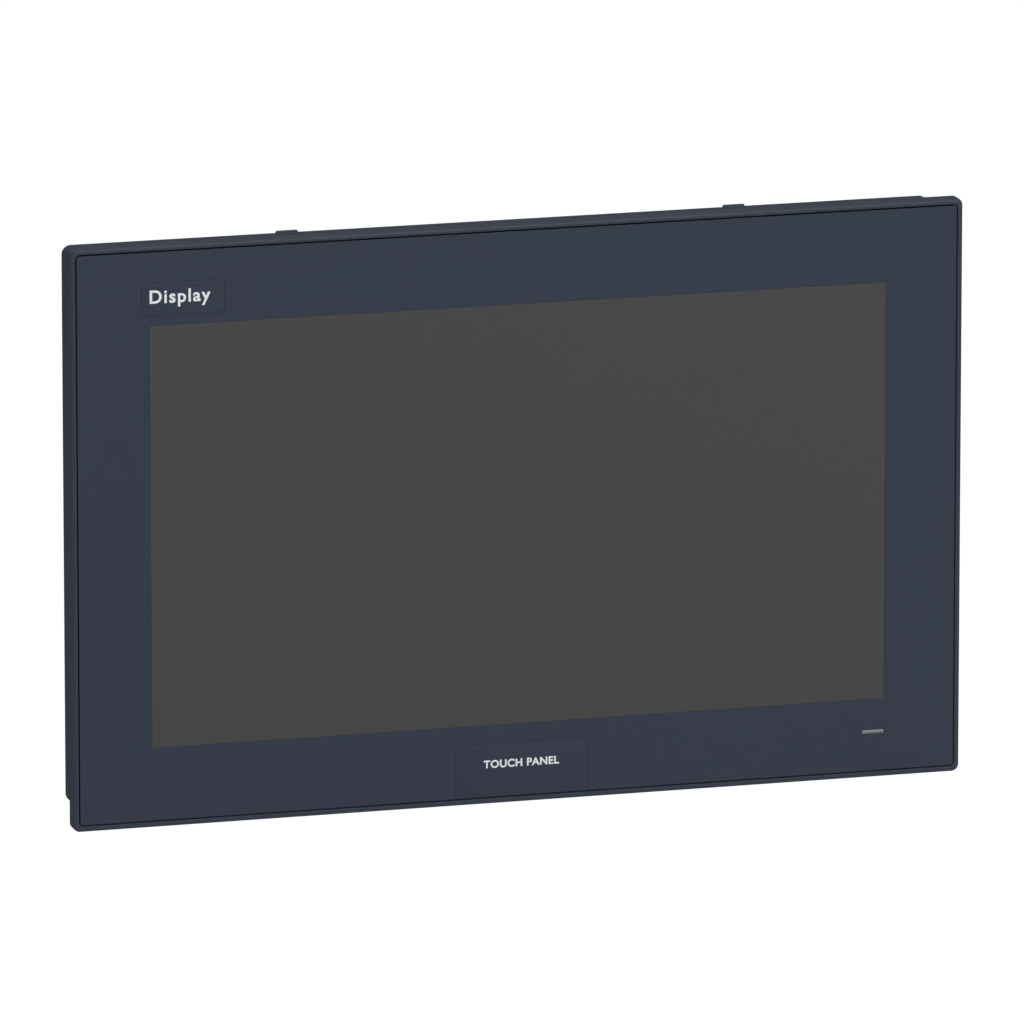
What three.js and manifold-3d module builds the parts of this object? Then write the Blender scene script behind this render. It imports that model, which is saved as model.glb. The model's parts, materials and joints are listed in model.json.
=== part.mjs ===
// Panel-mounted operator touch panel, wide 15.6 inch format.
// Millimetres. +X right seen from the front, +Y towards the back, +Z up.
// Y = 0 is the rear seat of the bezel, which lies on the outer face of the cabinet door.
import * as THREE from 'three';
import { mergeVertices } from 'three/addons/utils/BufferGeometryUtils.js';
import Module from 'manifold-3d';

const wasm = await Module();
wasm.setup();

// Driving dimensions of the front
const BEZEL = { width: 419.7, height: 268.6, corner: 3.1, edge: 1.8, thick: 7.2 };
const SHEET = { width: 413.1, height: 261.8, corner: 1.55, thick: 0.6, groove: 0.7 };
const WINDOW = { width: 346.2, height: 194.7, corner: 0.4 };
const RECESS_DEPTH = 4.2;
const LEDGE_OPENING = { width: 352, height: 200, corner: 2 };
const LEDGE_SLOT = { x: -15, z: -119.5, width: 28, height: 3 };
const GLASS = { width: 412.6, height: 261.3, corner: 1.3, thick: 2.8 };
const GLASS_SEAL = { outer: [368, 216, 3], inner: [358, 206, 3] };
const GASKET = { inner: [413.8, 263.0], outer: [418.2, 267.4], corner: 2.2, groove: 1.4, proud: 0.6 };
const STATUS = { x: 168.15, z: -112.95, width: 10.3, height: 2.0 };
const LIGHT_PIPE = { width: 9.6, height: 1.8, long: 8.8, proud: 0.4, slot: [11.2, 2.8] };
const LED_CARD = { y: 6.2, width: 20, z0: -7.5, z1: 3, thick: 1.6, led: [6.8, 1.6, 0.5] };
const NAME_LABEL = { x: -157.5, z: 109.35, width: 38.8, height: 15.3, corner: 2.2 };
const LOGO_LABEL = { x: 0.8, top: -106.0, width: 63.0, corner: 4.5 };
const LABEL_THICK = 0.3;
const CONTROLLER = {
  width: 100, z: -116.5, z0: -8, z1: 7, y: 12.0, thick: 1.6, postXs: [-58, 28], postZ: -115.5, post: 2.4,
};
const CONTROLLER_CHIP = { x0: -12, x1: 4, z0: -6, z1: 4, tall: 1.6 };
const CONTROLLER_SOCKET = { x0: 18, x1: 40, z0: -7, z1: -1, tall: 2.9 };
const TOUCH_FLEX = {
  width: 24, thick: 0.3, path: [
    [-3.45, -122], [-3.3, -120.4], [-2.2, -119.6], [4, -119.5], [9, -121.2], [11.2, -122.4], [11.6, -123.2],
  ],
};

// Driving dimensions of the display module, from the glass backwards
const LCD = { width: 363.8, height: 215.9, depth: 9.6, wall: 0.8, front: 1.0, corner: 1, inner: 0.5 };
const LCD_APERTURE = { width: 347, height: 196.6 };
const LCD_DUST = { outer: [360, 212, 2], inner: [353, 201, 2] };
const LCD_CELL = { size: [360, 212, 0.5], y: 1.0, thick: 1.8 };
const LIGHT_GUIDE = { size: [359, 211, 0.5], y: 3.1, thick: 3.0 };
const TRAY = { size: [361, 213, 0.5], inner: [359.6, 211.6, 0.4], y: 7.4, thick: 1.0, rim: 1.0 };
const BRACKET = { thick: 1.5, foot: 15.5, half: 90, y: 2 };
const BRACKET_WINDOW = { zs: [-45, 45], height: 50, y0: 13, y1: 20 };
const LCD_CABLE = {
  x0: -60, x1: -30, thick: 0.9, path: [
    [10.8, 20], [12.5, 22], [14, 30], [17, 38], [22, 41], [27, 41.5], [29.2, 40],
  ],
};

// Driving dimensions of the housing and what it holds
const SKIRT = { width: 408.6, height: 257.8, corner: 4.2, wall: 2.2, rear: 29.3 };
const SKIRT_LIP = { inner: [392, 241, 2], thick: 1.6 };
const SKIRT_SEAT = { inner: [394, 243, 2], thick: 2 };
const BOSS = { x: 192, z: 86, half: 6, front: 4, bore: 1.5, boreFront: 10, clear: 1.8 };
const CLAMP_SLOT = { width: 12, height: 3.4, y: 11, xs: [-150, 0, 150], zs: [-70, 70] };
const CATCH = {
  xs: [-99.9, 111.0], y0: 26.6, y1: 29.0, width: 10.4, lead: 0.9, draft: 0.2, proud: 1.1,
  foot: 118, shoulder: 124.5, flare: 2.4, side: 0.4,
};
const CATCH_NOTCH = { half: 5.5, front: 25.3, floor: 106, wall: 2, skin: 1.6, top: 127 };
const CATCH_SPRING = { radius: 0.9, wire: 0.22, turns: 5, steps: 40, end: 0.35 };
const PLATE = { width: 396, height: 196, corner: 3, y: 24.0, thick: 1.5 };
const PLATE_WINDOW = { xs: [-140, 90], z: 70, width: 56, height: 36 };
const CABLE_SLOT = { x: -45, z: 41.5, width: 38, height: 11 };
const STANDOFF = { radius: 3, bore: 1.4, clear: 1.6, sides: 6 };

// Driving dimensions of the main board and its sockets, whose Y runs up from the board
const BOARD = { x0: -120, x1: 172, z0: -114.6, z1: 46, y: 29.8, thick: 1.6, corner: 2 };
const BOARD_SCREWS = { xs: [-114, 20, 166], zs: [-92, 40] };
const BOARD_CHIPS = [
  { x0: -108, x1: -96, z0: -80, z1: -68, tall: 8 },
  { x0: -90, x1: -80, z0: -80, z1: -70, tall: 6 },
  { x0: -110, x1: -82, z0: -58, z1: -38, tall: 7 },
  { x0: -30, x1: -14, z0: -72, z1: -56, tall: 1.6 },
  { x0: 24, x1: 42, z0: -60, z1: -42, tall: 1.8 },
  { x0: 60, x1: 74, z0: -78, z1: -64, tall: 1.4 },
];
const CAPACITOR = { xs: [-70, -58, -46], z: -74, radius: 4, tall: 9 };
const CPU = { x: 0, z: 6, size: 24, tall: 2 };
const SPREADER = { size: 40, corner: 1.5, clear: 1 };
const MEMORY_SOCKET = {
  x: -72, half: 36, arm: 1.8, z0: -26, z1: -20, armTip: 6, tall: 5,
  slot: { half: 34, y0: 2.2, y1: 4.2, z0: -23.6, z1: -10 },
};
const MEMORY = { half: 33.8, z0: -23.4, z1: 6.6, y: 2.6, thick: 1.1 };
const MEMORY_CHIP = { xs: [-24, -8, 8, 24], z: -2.5, width: 10, height: 11, tall: 0.9 };
const COIN = { x: 113.5, z: 8, radius: 10, thick: 3.2, y: 1.3 };
const COIN_CUP = { outer: 12.4, inner: 10.6, floor: 1.2, tall: 4.4 };
const COIN_LUG = { half: 4, z0: -8, z1: 0, tall: 2 };
const CARD_SOCKET = {
  x: 148.5, half: 23.6, arm: 1.8, z0: -36, z1: -26, armTip: -8, tall: 6,
  slot: { half: 21.6, y0: 1.4, y1: 5.2, z0: -34, z1: -20 },
};
const CARD = { half: 21.3, y: 1.7, thick: 3.2, z0: -33.7, z1: 2 };
const CARD_GRIP = { half: 8, z0: -4, z1: 0.5, deep: 0.4 };
const PORT_FACE = -117.4;
const PORTS = {
  power: { x: -104, width: 19, height: 9.4, depth: 14 },
  lan: { x: -66, width: 33, height: 11.4, depth: 20 },
  usb: { x: -26, width: 32, height: 6.6, depth: 15 },
  serial: { x: 14, width: 31, height: 11.0, depth: 12 },
  video: { x: 52, width: 38, height: 9.2, depth: 14 },
};
const POWER_MOUTH = { width: 16, y0: 1, y1: 8.4, deep: 8 };
const POWER_PIN = { pitch: 5.08, width: 1.2, y0: 4.0, y1: 5.2, deep: 9, inset: -1 };
const TWIN_OFFSET = 8;
const LAN_MOUTH = { width: 11.8, y0: 2.2, y1: 9.4, deep: 14 };
const LAN_NOTCH = { width: 6, y0: 1.0, y1: 2.6, deep: 14 };
const USB_MOUTH = { width: 12.6, y0: 0.8, y1: 5.8, deep: 10 };
const USB_TONGUE = { width: 11.2, y0: 3.6, y1: 5.4, inset: 0.6 };
const SERIAL_MOUTH = { width: 16.8, y0: 1.6, y1: 9.4, deep: 6 };
const SERIAL_EAR = { x: 9.4, deep: 4 };
const SERIAL_PIN = { radius: 0.5, pitch: 2.77, rows: [5, 4], ys: [6.9, 4.1], inset: 1.2, deep: 7 };
const VIDEO_MOUTH = { width: 24.8, y0: 0.9, y1: 8.3, deep: 5 };
const VIDEO_TONGUE = { width: 22.4, y0: 2.0, y1: 7.2, inset: 0.4 };
const BUTTONS = { power: 76, reset: 85, lift: 4.2, cap: 1.9 };
const BUTTON_COLLAR = { radius: 2.8, thick: 0.7 };
const BUTTON_STEM = { radius: 1.2, long: 5.4 };
const SWITCH = { half: 3.6, tall: 8, z0: 2.3, z1: 9, bore: 1.5, boreDeep: 7 };

// Driving dimensions of the rear
const DEPTH_BEHIND_DOOR = 51.9;
const COVER = {
  width: 384, height: 236, wall: 1.6, front: 29.4, rear: 45.2, corner: 4,
  flangeWidth: 403, flangeHeight: 252.6, flangeCorner: 3, flangeThick: 1.5,
};
const COVER_SCREW = {
  xs: [-160, 0, 160], z: 121, hole: 1.7, holeDeep: 9, pad: 4.2, padDeep: 7, clear: 1.9,
};
const VENT = { perSide: 10, pitch: 16, width: 3.6, z0: 90, z1: 108, margin: 4 };
const CONNECTOR_BAY = { left: 4, right: 3, front: 1.6, rear: 0.6 };
const SINK = { width: 176, height: 150, base: 2.2, y: 45.4, fins: 19, fin: 1.8, z: 8 };
const SINK_SCREW = { x: 82, z: 69, hole: 1.8 };
const BAY = { x0: 102, x1: 172, z0: -36, z1: 36, corner: 3 };
const HINGE = { x: 181, y: 48.0, barrel: 2.4, bore: 1.3, half: 32, middle: 11, leafEnd: 30, web: 4 };
const HINGE_PIN = { radius: 1.0, head: 1.9, headZ: [30.4, 31.8] };
const DOOR = { lift: 0.3, thick: 1.6, side: 6, top: 5, corner: 2 };
const GRIP = { x: 100, z: 24, width: 3, height: 22, corner: 1, deep: 0.6 };
const LATCH = { side: 4, z: 0, knob: 4.0, knobThick: 2.4, coin: [6, 1.2, 1.0], stem: 1.6 };
const LATCH_TONGUE = { long: 9.5, width: 3.6, corner: 1.5, thick: 1.2, clear: 0.4 };
const GROUND = { x: 120, y: 37, radius: 2, long: 8, inside: 6, clear: 2.3, washer: 4.6 };
const GROUND_NUT = { radius: 4.2, thick: 3, gap: 0.2 };
const SCREW = {
  sides: 12, profile: [[0, -7], [1.4, -7], [1.4, 0], [3, 0], [2.7, 1.1], [1.6, 1.8], [0, 1.9]],
};
const LABEL = { width: 60, height: 38, corner: 2, x: -135, z: 20, thick: 0.2 };

const GAP = 0.1; // between pieces that lie side by side
const FIT = 0.3; // between a piece and the piece cut round it
const OVER = 1; // how far a cutter runs past the face that it opens
const ROUND = 24; // sides of a cylinder that shows

// Worked out from the dimensions above
const FRONT = -BEZEL.thick;
const LEDGE = FRONT + RECESS_DEPTH;
const SHEET_BACK = FRONT + SHEET.thick;
const BOARD_TOP = BOARD.y + BOARD.thick;
const PORT_FLOOR = BOARD_TOP + GAP;
const IO_PLATE = {
  x0: -122, x1: 92, y0: BOARD_TOP + 0.2, y1: COVER.rear - COVER.wall - GAP, z0: -116.2, thick: 0.8,
};
const DOOR_FACE = COVER.rear + DOOR.lift;
const LATCH_X = BAY.x0 + LATCH.side;

// Small toolkit
function solid(geometry) {
  const bare = geometry.clone();
  bare.deleteAttribute('normal');
  bare.deleteAttribute('uv');
  const g = mergeVertices(bare, 1e-4);
  return new wasm.Manifold(new wasm.Mesh({
    numProp: 3,
    vertProperties: new Float32Array(g.attributes.position.array),
    triVerts: new Uint32Array(g.index.array),
  }));
}

function geometryOf(body) {
  const m = body.getMesh();
  const g = new THREE.BufferGeometry();
  g.setAttribute('position', new THREE.BufferAttribute(new Float32Array(m.vertProperties), 3));
  g.setIndex(new THREE.BufferAttribute(new Uint32Array(m.triVerts), 1));
  g.computeVertexNormals();
  return g;
}

function combine(adds, cuts = []) {
  let body = solid(adds[0]);
  for (const g of adds.slice(1)) body = body.add(solid(g));
  for (const g of cuts) body = body.subtract(solid(g));
  return geometryOf(body);
}

function box(x0, x1, y0, y1, z0, z1) {
  const g = new THREE.BoxGeometry(x1 - x0, y1 - y0, z1 - z0);
  return g.translate((x0 + x1) / 2, (y0 + y1) / 2, (z0 + z1) / 2);
}

function roundedRect(width, height, corner, cx = 0, cz = 0) {
  const s = new THREE.Shape();
  const [x, z, r] = [width / 2, height / 2, corner];
  s.moveTo(cx - x + r, cz - z);
  s.lineTo(cx + x - r, cz - z);
  s.absarc(cx + x - r, cz - z + r, r, -Math.PI / 2, 0, false);
  s.lineTo(cx + x, cz + z - r);
  s.absarc(cx + x - r, cz + z - r, r, 0, Math.PI / 2, false);
  s.lineTo(cx - x + r, cz + z);
  s.absarc(cx - x + r, cz + z - r, r, Math.PI / 2, Math.PI, false);
  s.lineTo(cx - x, cz - z + r);
  s.absarc(cx - x + r, cz - z + r, r, Math.PI, Math.PI * 1.5, false);
  return s;
}

// An XZ outline carried along Y from y0 to y1.
function slab(shape, y0, y1, arcs = 5) {
  const g = new THREE.ExtrudeGeometry(shape, { depth: y1 - y0, bevelEnabled: false, curveSegments: arcs });
  return g.rotateX(Math.PI / 2).translate(0, y1, 0);
}

function plate(width, height, corner, y0, y1, cx = 0, cz = 0) {
  return slab(roundedRect(width, height, corner, cx, cz), y0, y1);
}

// A square-cornered block by its middle and size in X and Z.
function block(cx, cz, width, height, y0, y1) {
  return box(cx - width / 2, cx + width / 2, y0, y1, cz - height / 2, cz + height / 2);
}

function ring(outer, inner, y0, y1) {
  const s = roundedRect(...outer);
  s.holes.push(roundedRect(...inner));
  return slab(s, y0, y1);
}

// A YZ outline carried along X from x0 to x1.
function strip(points, x0, x1) {
  const s = new THREE.Shape(points.map(([y, z]) => new THREE.Vector2(y, z)));
  const g = new THREE.ExtrudeGeometry(s, { depth: x1 - x0, bevelEnabled: false });
  const m = new THREE.Matrix4().makeBasis(
    new THREE.Vector3(0, 1, 0), new THREE.Vector3(0, 0, 1), new THREE.Vector3(1, 0, 0));
  return g.applyMatrix4(m).translate(x0, 0, 0);
}

// Outline of a flat ribbon of even thickness along a path of [y, z] points.
function ribbon(path, thick) {
  const left = [];
  const right = [];
  path.forEach(([y, z], i) => {
    const a = path[Math.max(i - 1, 0)];
    const b = path[Math.min(i + 1, path.length - 1)];
    const d = new THREE.Vector2(b[0] - a[0], b[1] - a[1]).normalize();
    left.push([y - d.y * thick / 2, z + d.x * thick / 2]);
    right.unshift([y + d.y * thick / 2, z - d.x * thick / 2]);
  });
  return left.concat(right).reverse();
}

function rod(radius, y0, y1, x, z, sides = 16) {
  return new THREE.CylinderGeometry(radius, radius, y1 - y0, sides).translate(x, (y0 + y1) / 2, z);
}

function post(radius, z0, z1, x, y, sides = 16) {
  const g = new THREE.CylinderGeometry(radius, radius, z1 - z0, sides).rotateX(Math.PI / 2);
  return g.translate(x, y, (z0 + z1) / 2);
}

const FINISH = {
  slate: { color: 0x383e4a, roughness: 0.55, metalness: 0.0 },
  slate_film: { color: 0x383e4a, roughness: 0.45, metalness: 0.0 },
  window: { color: 0x474747, roughness: 0.35, metalness: 0.0 },
  label: { color: 0x39404c, roughness: 0.45, metalness: 0.0 },
  lens: { color: 0x9a9da0, roughness: 0.3, metalness: 0.0 },
  glass: { color: 0x8fa3a0, roughness: 0.1, metalness: 0.0 },
  foam: { color: 0x1b1c1e, roughness: 0.95, metalness: 0.0 },
  steel: { color: 0xb4b6b4, roughness: 0.35, metalness: 0.9 },
  zinc: { color: 0xa5a9a8, roughness: 0.4, metalness: 0.9 },
  aluminium: { color: 0x9a9ca0, roughness: 0.4, metalness: 0.9 },
  acrylic: { color: 0xe8eeee, roughness: 0.15, metalness: 0.0 },
  board: { color: 0x1f5a38, roughness: 0.5, metalness: 0.0 },
  chip: { color: 0x2a2b2d, roughness: 0.4, metalness: 0.0 },
  flex: { color: 0xb07a2c, roughness: 0.4, metalness: 0.0 },
  plastic: { color: 0x202225, roughness: 0.5, metalness: 0.0 },
  terminal: { color: 0x2f7a4a, roughness: 0.5, metalness: 0.0 },
  button: { color: 0x3a3d42, roughness: 0.5, metalness: 0.0 },
  spring: { color: 0xc4c6c8, roughness: 0.25, metalness: 1.0 },
  brass: { color: 0xb49a55, roughness: 0.35, metalness: 1.0 },
  paper: { color: 0xd8d9d6, roughness: 0.6, metalness: 0.0 },
};

function piece(name, geometry, finish) {
  const mesh = new THREE.Mesh(geometry, new THREE.MeshStandardMaterial(FINISH[finish]));
  mesh.name = name;
  return mesh;
}

function groupOf(...meshes) {
  const g = new THREE.Group();
  g.add(...meshes);
  return g;
}

// Front
function frontBezel() {
  const e = BEZEL.edge;
  const outline = roundedRect(BEZEL.width - 2 * e, BEZEL.height - 2 * e, BEZEL.corner - e);
  const body = new THREE.ExtrudeGeometry(outline, {
    depth: BEZEL.thick, bevelEnabled: true, bevelThickness: e, bevelSize: e, bevelSegments: 4,
    curveSegments: 5,
  }).rotateX(Math.PI / 2).translate(0, FRONT + e + BEZEL.thick, 0);
  const behindSeat = block(0, 0, 2 * BEZEL.width, 2 * BEZEL.height, 0, 2 * BEZEL.thick);
  const shell = geometryOf(solid(body).subtract(solid(behindSeat)));
  const posts = CONTROLLER.postXs.map((x) => rod(CONTROLLER.post, -OVER, CONTROLLER.y - 2 * GAP,
    x, CONTROLLER.postZ, 10));
  const cuts = [
    plate(SHEET.width + 2 * SHEET.groove, SHEET.height + 2 * SHEET.groove,
      SHEET.corner + SHEET.groove, FRONT - OVER, LEDGE),
    plate(LEDGE_OPENING.width, LEDGE_OPENING.height, LEDGE_OPENING.corner, LEDGE - OVER, OVER),
    ring([...GASKET.outer.map((v) => v + 2 * GAP), GASKET.corner],
      [...GASKET.inner.map((v) => v - 2 * GAP), GASKET.corner], -GASKET.groove, OVER),
    block(STATUS.x, STATUS.z, ...LIGHT_PIPE.slot, LEDGE - OVER, OVER),
    block(LEDGE_SLOT.x, LEDGE_SLOT.z, LEDGE_SLOT.width, LEDGE_SLOT.height, LEDGE - OVER, OVER),
  ];
  return piece('front_bezel', combine([shell, ...posts], cuts), 'slate');
}

function labelOutline(grow) {
  return roundedRect(NAME_LABEL.width + 2 * grow, NAME_LABEL.height + 2 * grow,
    NAME_LABEL.corner + grow, NAME_LABEL.x, NAME_LABEL.z);
}

// The lower label runs down to the sheet's bottom edge, with round upper corners only.
function tongueOutline(grow, bottom) {
  const s = new THREE.Shape();
  const half = LOGO_LABEL.width / 2 + grow;
  const r = LOGO_LABEL.corner + grow;
  const top = LOGO_LABEL.top + grow;
  const x = LOGO_LABEL.x;
  s.moveTo(x - half, bottom);
  s.lineTo(x + half, bottom);
  s.lineTo(x + half, top - r);
  s.absarc(x + half - r, top - r, r, 0, Math.PI / 2, false);
  s.lineTo(x - half + r, top);
  s.absarc(x - half + r, top - r, r, Math.PI / 2, Math.PI, false);
  return s;
}

function frontOverlay() {
  const sheet = ring([SHEET.width, SHEET.height, SHEET.corner],
    [WINDOW.width, WINDOW.height, WINDOW.corner], FRONT, SHEET_BACK);
  const lensHole = block(STATUS.x, STATUS.z, STATUS.width + 2 * GAP, STATUS.height + 2 * GAP,
    FRONT - OVER, SHEET_BACK + OVER);
  const pocketFloor = FRONT + LABEL_THICK + GAP / 2;
  const namePocket = slab(labelOutline(GAP), FRONT - OVER, pocketFloor);
  const logoPocket = slab(tongueOutline(GAP, -SHEET.height), FRONT - OVER, pocketFloor);
  return piece('front_overlay', combine([sheet], [lensHole, namePocket, logoPocket]), 'slate_film');
}

function sheetInlays() {
  const window = plate(WINDOW.width - GAP, WINDOW.height - GAP, WINDOW.corner - GAP / 2, FRONT, SHEET_BACK);
  const name = slab(labelOutline(0), FRONT, FRONT + LABEL_THICK);
  const logo = slab(tongueOutline(0, -SHEET.height / 2), FRONT, FRONT + LABEL_THICK);
  const lens = piece('status_lens', block(0, 0, STATUS.width, STATUS.height, 0, SHEET.thick), 'lens');
  lens.position.set(STATUS.x, FRONT, STATUS.z);
  return [piece('display_window', window, 'window'), piece('name_label', name, 'label'),
    piece('logo_label', logo, 'label'), lens];
}

function glassAndSeals() {
  const pane = plate(GLASS.width, GLASS.height, GLASS.corner, 0, GLASS.thick);
  const glass = piece('touch_glass', pane, 'glass');
  glass.position.y = SHEET_BACK + GAP;
  const sealFront = SHEET_BACK + GAP + GLASS.thick + GAP;
  const seal = ring(GLASS_SEAL.outer, GLASS_SEAL.inner, sealFront, LEDGE - GAP);
  const gasket = ring([...GASKET.outer, GASKET.corner], [...GASKET.inner, GASKET.corner],
    -GASKET.groove + GAP, GASKET.proud);
  return [glass, piece('glass_seal', seal, 'foam'), piece('panel_gasket', gasket, 'foam')];
}

function statusLight() {
  const pipe = block(0, 0, LIGHT_PIPE.width, LIGHT_PIPE.height, 0, LIGHT_PIPE.long);
  const lightPipe = piece('light_pipe', pipe, 'acrylic');
  lightPipe.position.set(STATUS.x, LEDGE - LIGHT_PIPE.proud, STATUS.z);
  const { width, z0, z1, thick, led } = LED_CARD;
  const sheet = box(-width / 2, width / 2, 0, thick, z0, z1);
  const lamp = block(0, 0, led[0], led[1], -led[2], 2 * GAP);
  const ledBoard = piece('led_board', combine([sheet, lamp]), 'board');
  ledBoard.position.set(STATUS.x, LED_CARD.y, STATUS.z);
  return [lightPipe, ledBoard];
}

function touchController() {
  const { width, z0, z1, thick } = CONTROLLER;
  const sheet = box(-width / 2, width / 2, 0, thick, z0, z1);
  const mounted = [CONTROLLER_CHIP, CONTROLLER_SOCKET].map((c) => chip(c, thick));
  const board = piece('touch_controller', combine([sheet, ...mounted]), 'board');
  board.position.set(LEDGE_SLOT.x, CONTROLLER.y, CONTROLLER.z);
  const flex = strip(ribbon(TOUCH_FLEX.path, TOUCH_FLEX.thick),
    LEDGE_SLOT.x - TOUCH_FLEX.width / 2, LEDGE_SLOT.x + TOUCH_FLEX.width / 2);
  return [board, piece('touch_flex', flex, 'flex')];
}

// A block sunk a hair into the board whose top is at the given height.
function chip({ x0, x1, z0, z1, tall }, top) {
  return box(x0, x1, top - GAP, top + tall, z0, z1);
}

function frontGroup() {
  return groupOf(frontBezel(), frontOverlay(), ...sheetInlays(), ...glassAndSeals(),
    ...statusLight(), ...touchController());
}

// Display
function lcdFrame() {
  const { width, height, depth, wall, front, corner, inner } = LCD;
  const lip = ring([width, height, corner], [LCD_APERTURE.width, LCD_APERTURE.height, inner],
    front, front + wall);
  const sides = ring([width, height, corner], [width - 2 * wall, height - 2 * wall, inner],
    front + wall / 2, front + depth);
  return piece('lcd_frame', combine([lip, sides]), 'zinc');
}

// The right-hand side bracket; the left one is the same piece turned half a turn.
function lcdBracket() {
  const x = LCD.width / 2 + FIT;
  const back = PLATE.y - GAP;
  const { thick, foot, half } = BRACKET;
  const web = box(x, x + thick, BRACKET.y, back, -half, half);
  const flange = box(x + thick - foot, x + thick, back - thick, back, -half, half);
  const { zs, height, y0, y1 } = BRACKET_WINDOW;
  const windows = zs.map((z) => block(x, z, 4 * thick, height, y0, y1));
  return combine([web, flange], windows);
}

function layer(name, { size, y, thick }, finish) {
  return piece(name, plate(...size, LCD.front + y, LCD.front + y + thick), finish);
}

function backlightTray() {
  const y = LCD.front + TRAY.y;
  const sheet = plate(...TRAY.size, y, y + TRAY.thick);
  const rim = ring(TRAY.size, TRAY.inner, y - TRAY.rim, y + TRAY.thick / 2);
  return piece('backlight_tray', combine([sheet, rim]), 'steel');
}

function displayGroup() {
  const dust = ring(LCD_DUST.outer, LCD_DUST.inner, GAP, LCD.front - GAP);
  const right = piece('lcd_bracket_right', lcdBracket(), 'zinc');
  const left = piece('lcd_bracket_left', lcdBracket(), 'zinc');
  left.rotation.y = Math.PI;
  const cable = strip(ribbon(LCD_CABLE.path, LCD_CABLE.thick), LCD_CABLE.x0, LCD_CABLE.x1);
  return groupOf(piece('lcd_dust_seal', dust, 'foam'), lcdFrame(), layer('lcd_cell', LCD_CELL, 'glass'),
    layer('light_guide', LIGHT_GUIDE, 'acrylic'), backlightTray(),
    right, left, piece('lcd_cable', cable, 'flex'));
}

// Housing and chassis
function catchPocket(x) {
  const { half, front, floor, wall, skin, top } = CATCH_NOTCH;
  const room = CATCH.width / 2 + CATCH.flare + CATCH.side;
  const { rear } = SKIRT;
  return {
    guide: box(x - room - wall, x + room + wall, front - skin, rear, floor - wall, top),
    cuts: [
      box(x - room, x + room, front, rear + OVER, floor, CATCH.shoulder + FIT),
      box(x - half, x + half, front, rear + OVER, floor + wall, SKIRT.height),
    ],
  };
}

// Square bosses in the side walls that carry the chassis plate, with their screw bores.
function plateBosses() {
  const bosses = [];
  const bores = [];
  for (const sx of [-1, 1]) {
    for (const z of [-BOSS.z, BOSS.z]) {
      const x = sx * BOSS.x;
      const [near, far] = [x - sx * BOSS.half, sx * (SKIRT.width / 2 - OVER)].sort((a, b) => a - b);
      bosses.push(box(near, far, BOSS.front, PLATE.y - GAP, z - BOSS.half, z + BOSS.half));
      bores.push(rod(BOSS.bore, BOSS.boreFront, PLATE.y + OVER, x, z, 8));
    }
  }
  return { bosses, bores };
}

// Cutters for the slots in all four walls that the mounting clamps hook into.
function clampSlots() {
  const { width, height, y, xs, zs } = CLAMP_SLOT;
  const deep = 4 * SKIRT.wall;
  const [sideX, sideZ] = [SKIRT.width / 2 - SKIRT.wall / 2, SKIRT.height / 2 - SKIRT.wall / 2];
  const slots = [];
  for (const side of [-1, 1]) {
    for (const z of zs) slots.push(block(side * sideX, z, deep, width, y, y + height));
    for (const x of xs) slots.push(block(x, side * sideZ, width, deep, y, y + height));
  }
  return slots;
}

function coverScrewPlaces() {
  return COVER_SCREW.xs.flatMap((x) => [-COVER_SCREW.z, COVER_SCREW.z].map((z) => [x, z]));
}

function housingFrame() {
  const { width, height, corner, wall, rear } = SKIRT;
  const inside = [width - 2 * wall, height - 2 * wall, corner - wall];
  const tube = ring([width, height, corner], inside, GAP, rear);
  const inWall = [width - wall / 2, height - wall / 2, corner - wall / 4];
  const lip = ring(inWall, SKIRT_LIP.inner, rear - SKIRT_LIP.thick, rear);
  const seat = ring(inWall, SKIRT_SEAT.inner, GAP, GAP + SKIRT_SEAT.thick);
  const pockets = CATCH.xs.map(catchPocket);
  const { bosses, bores } = plateBosses();
  const { hole, holeDeep, pad, padDeep } = COVER_SCREW;
  const holes = coverScrewPlaces().map(([x, z]) => rod(hole, rear - holeDeep, rear + OVER, x, z, 10));
  const padTop = rear - SKIRT_LIP.thick / 2;
  const pads = coverScrewPlaces().map(([x, z]) => rod(pad, rear - padDeep, padTop, x, z));
  const adds = [tube, lip, seat, ...bosses, ...pockets.map((p) => p.guide), ...pads];
  const cuts = [...bores, ...clampSlots(), ...holes, ...pockets.flatMap((p) => p.cuts)];
  return piece('housing_frame', combine(adds, cuts), 'slate');
}

function boardScrewPlaces() {
  return BOARD_SCREWS.xs.flatMap((x) => BOARD_SCREWS.zs.map((z) => [x, z]));
}

function chassisPlate() {
  const { width, height, corner, y, thick } = PLATE;
  const [under, past] = [y - OVER, y + thick + OVER];
  const standoffs = boardScrewPlaces().map(([x, z]) => rod(STANDOFF.radius, y + thick / 2, BOARD.y - GAP,
    x, z, STANDOFF.sides));
  const cuts = boardScrewPlaces().map(([x, z]) => rod(STANDOFF.bore, y + thick, BOARD.y + OVER,
    x, z, STANDOFF.sides));
  for (const x of [-BOSS.x, BOSS.x]) {
    for (const z of [-BOSS.z, BOSS.z]) cuts.push(rod(BOSS.clear, under, past, x, z, 8));
  }
  cuts.push(block(CABLE_SLOT.x, CABLE_SLOT.z, CABLE_SLOT.width, CABLE_SLOT.height, under, past));
  for (const x of PLATE_WINDOW.xs) {
    cuts.push(block(x, PLATE_WINDOW.z, PLATE_WINDOW.width, PLATE_WINDOW.height, under, past));
  }
  const sheet = plate(width, height, corner, y, y + thick);
  return piece('chassis_plate', combine([sheet, ...standoffs], cuts), 'zinc');
}

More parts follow.
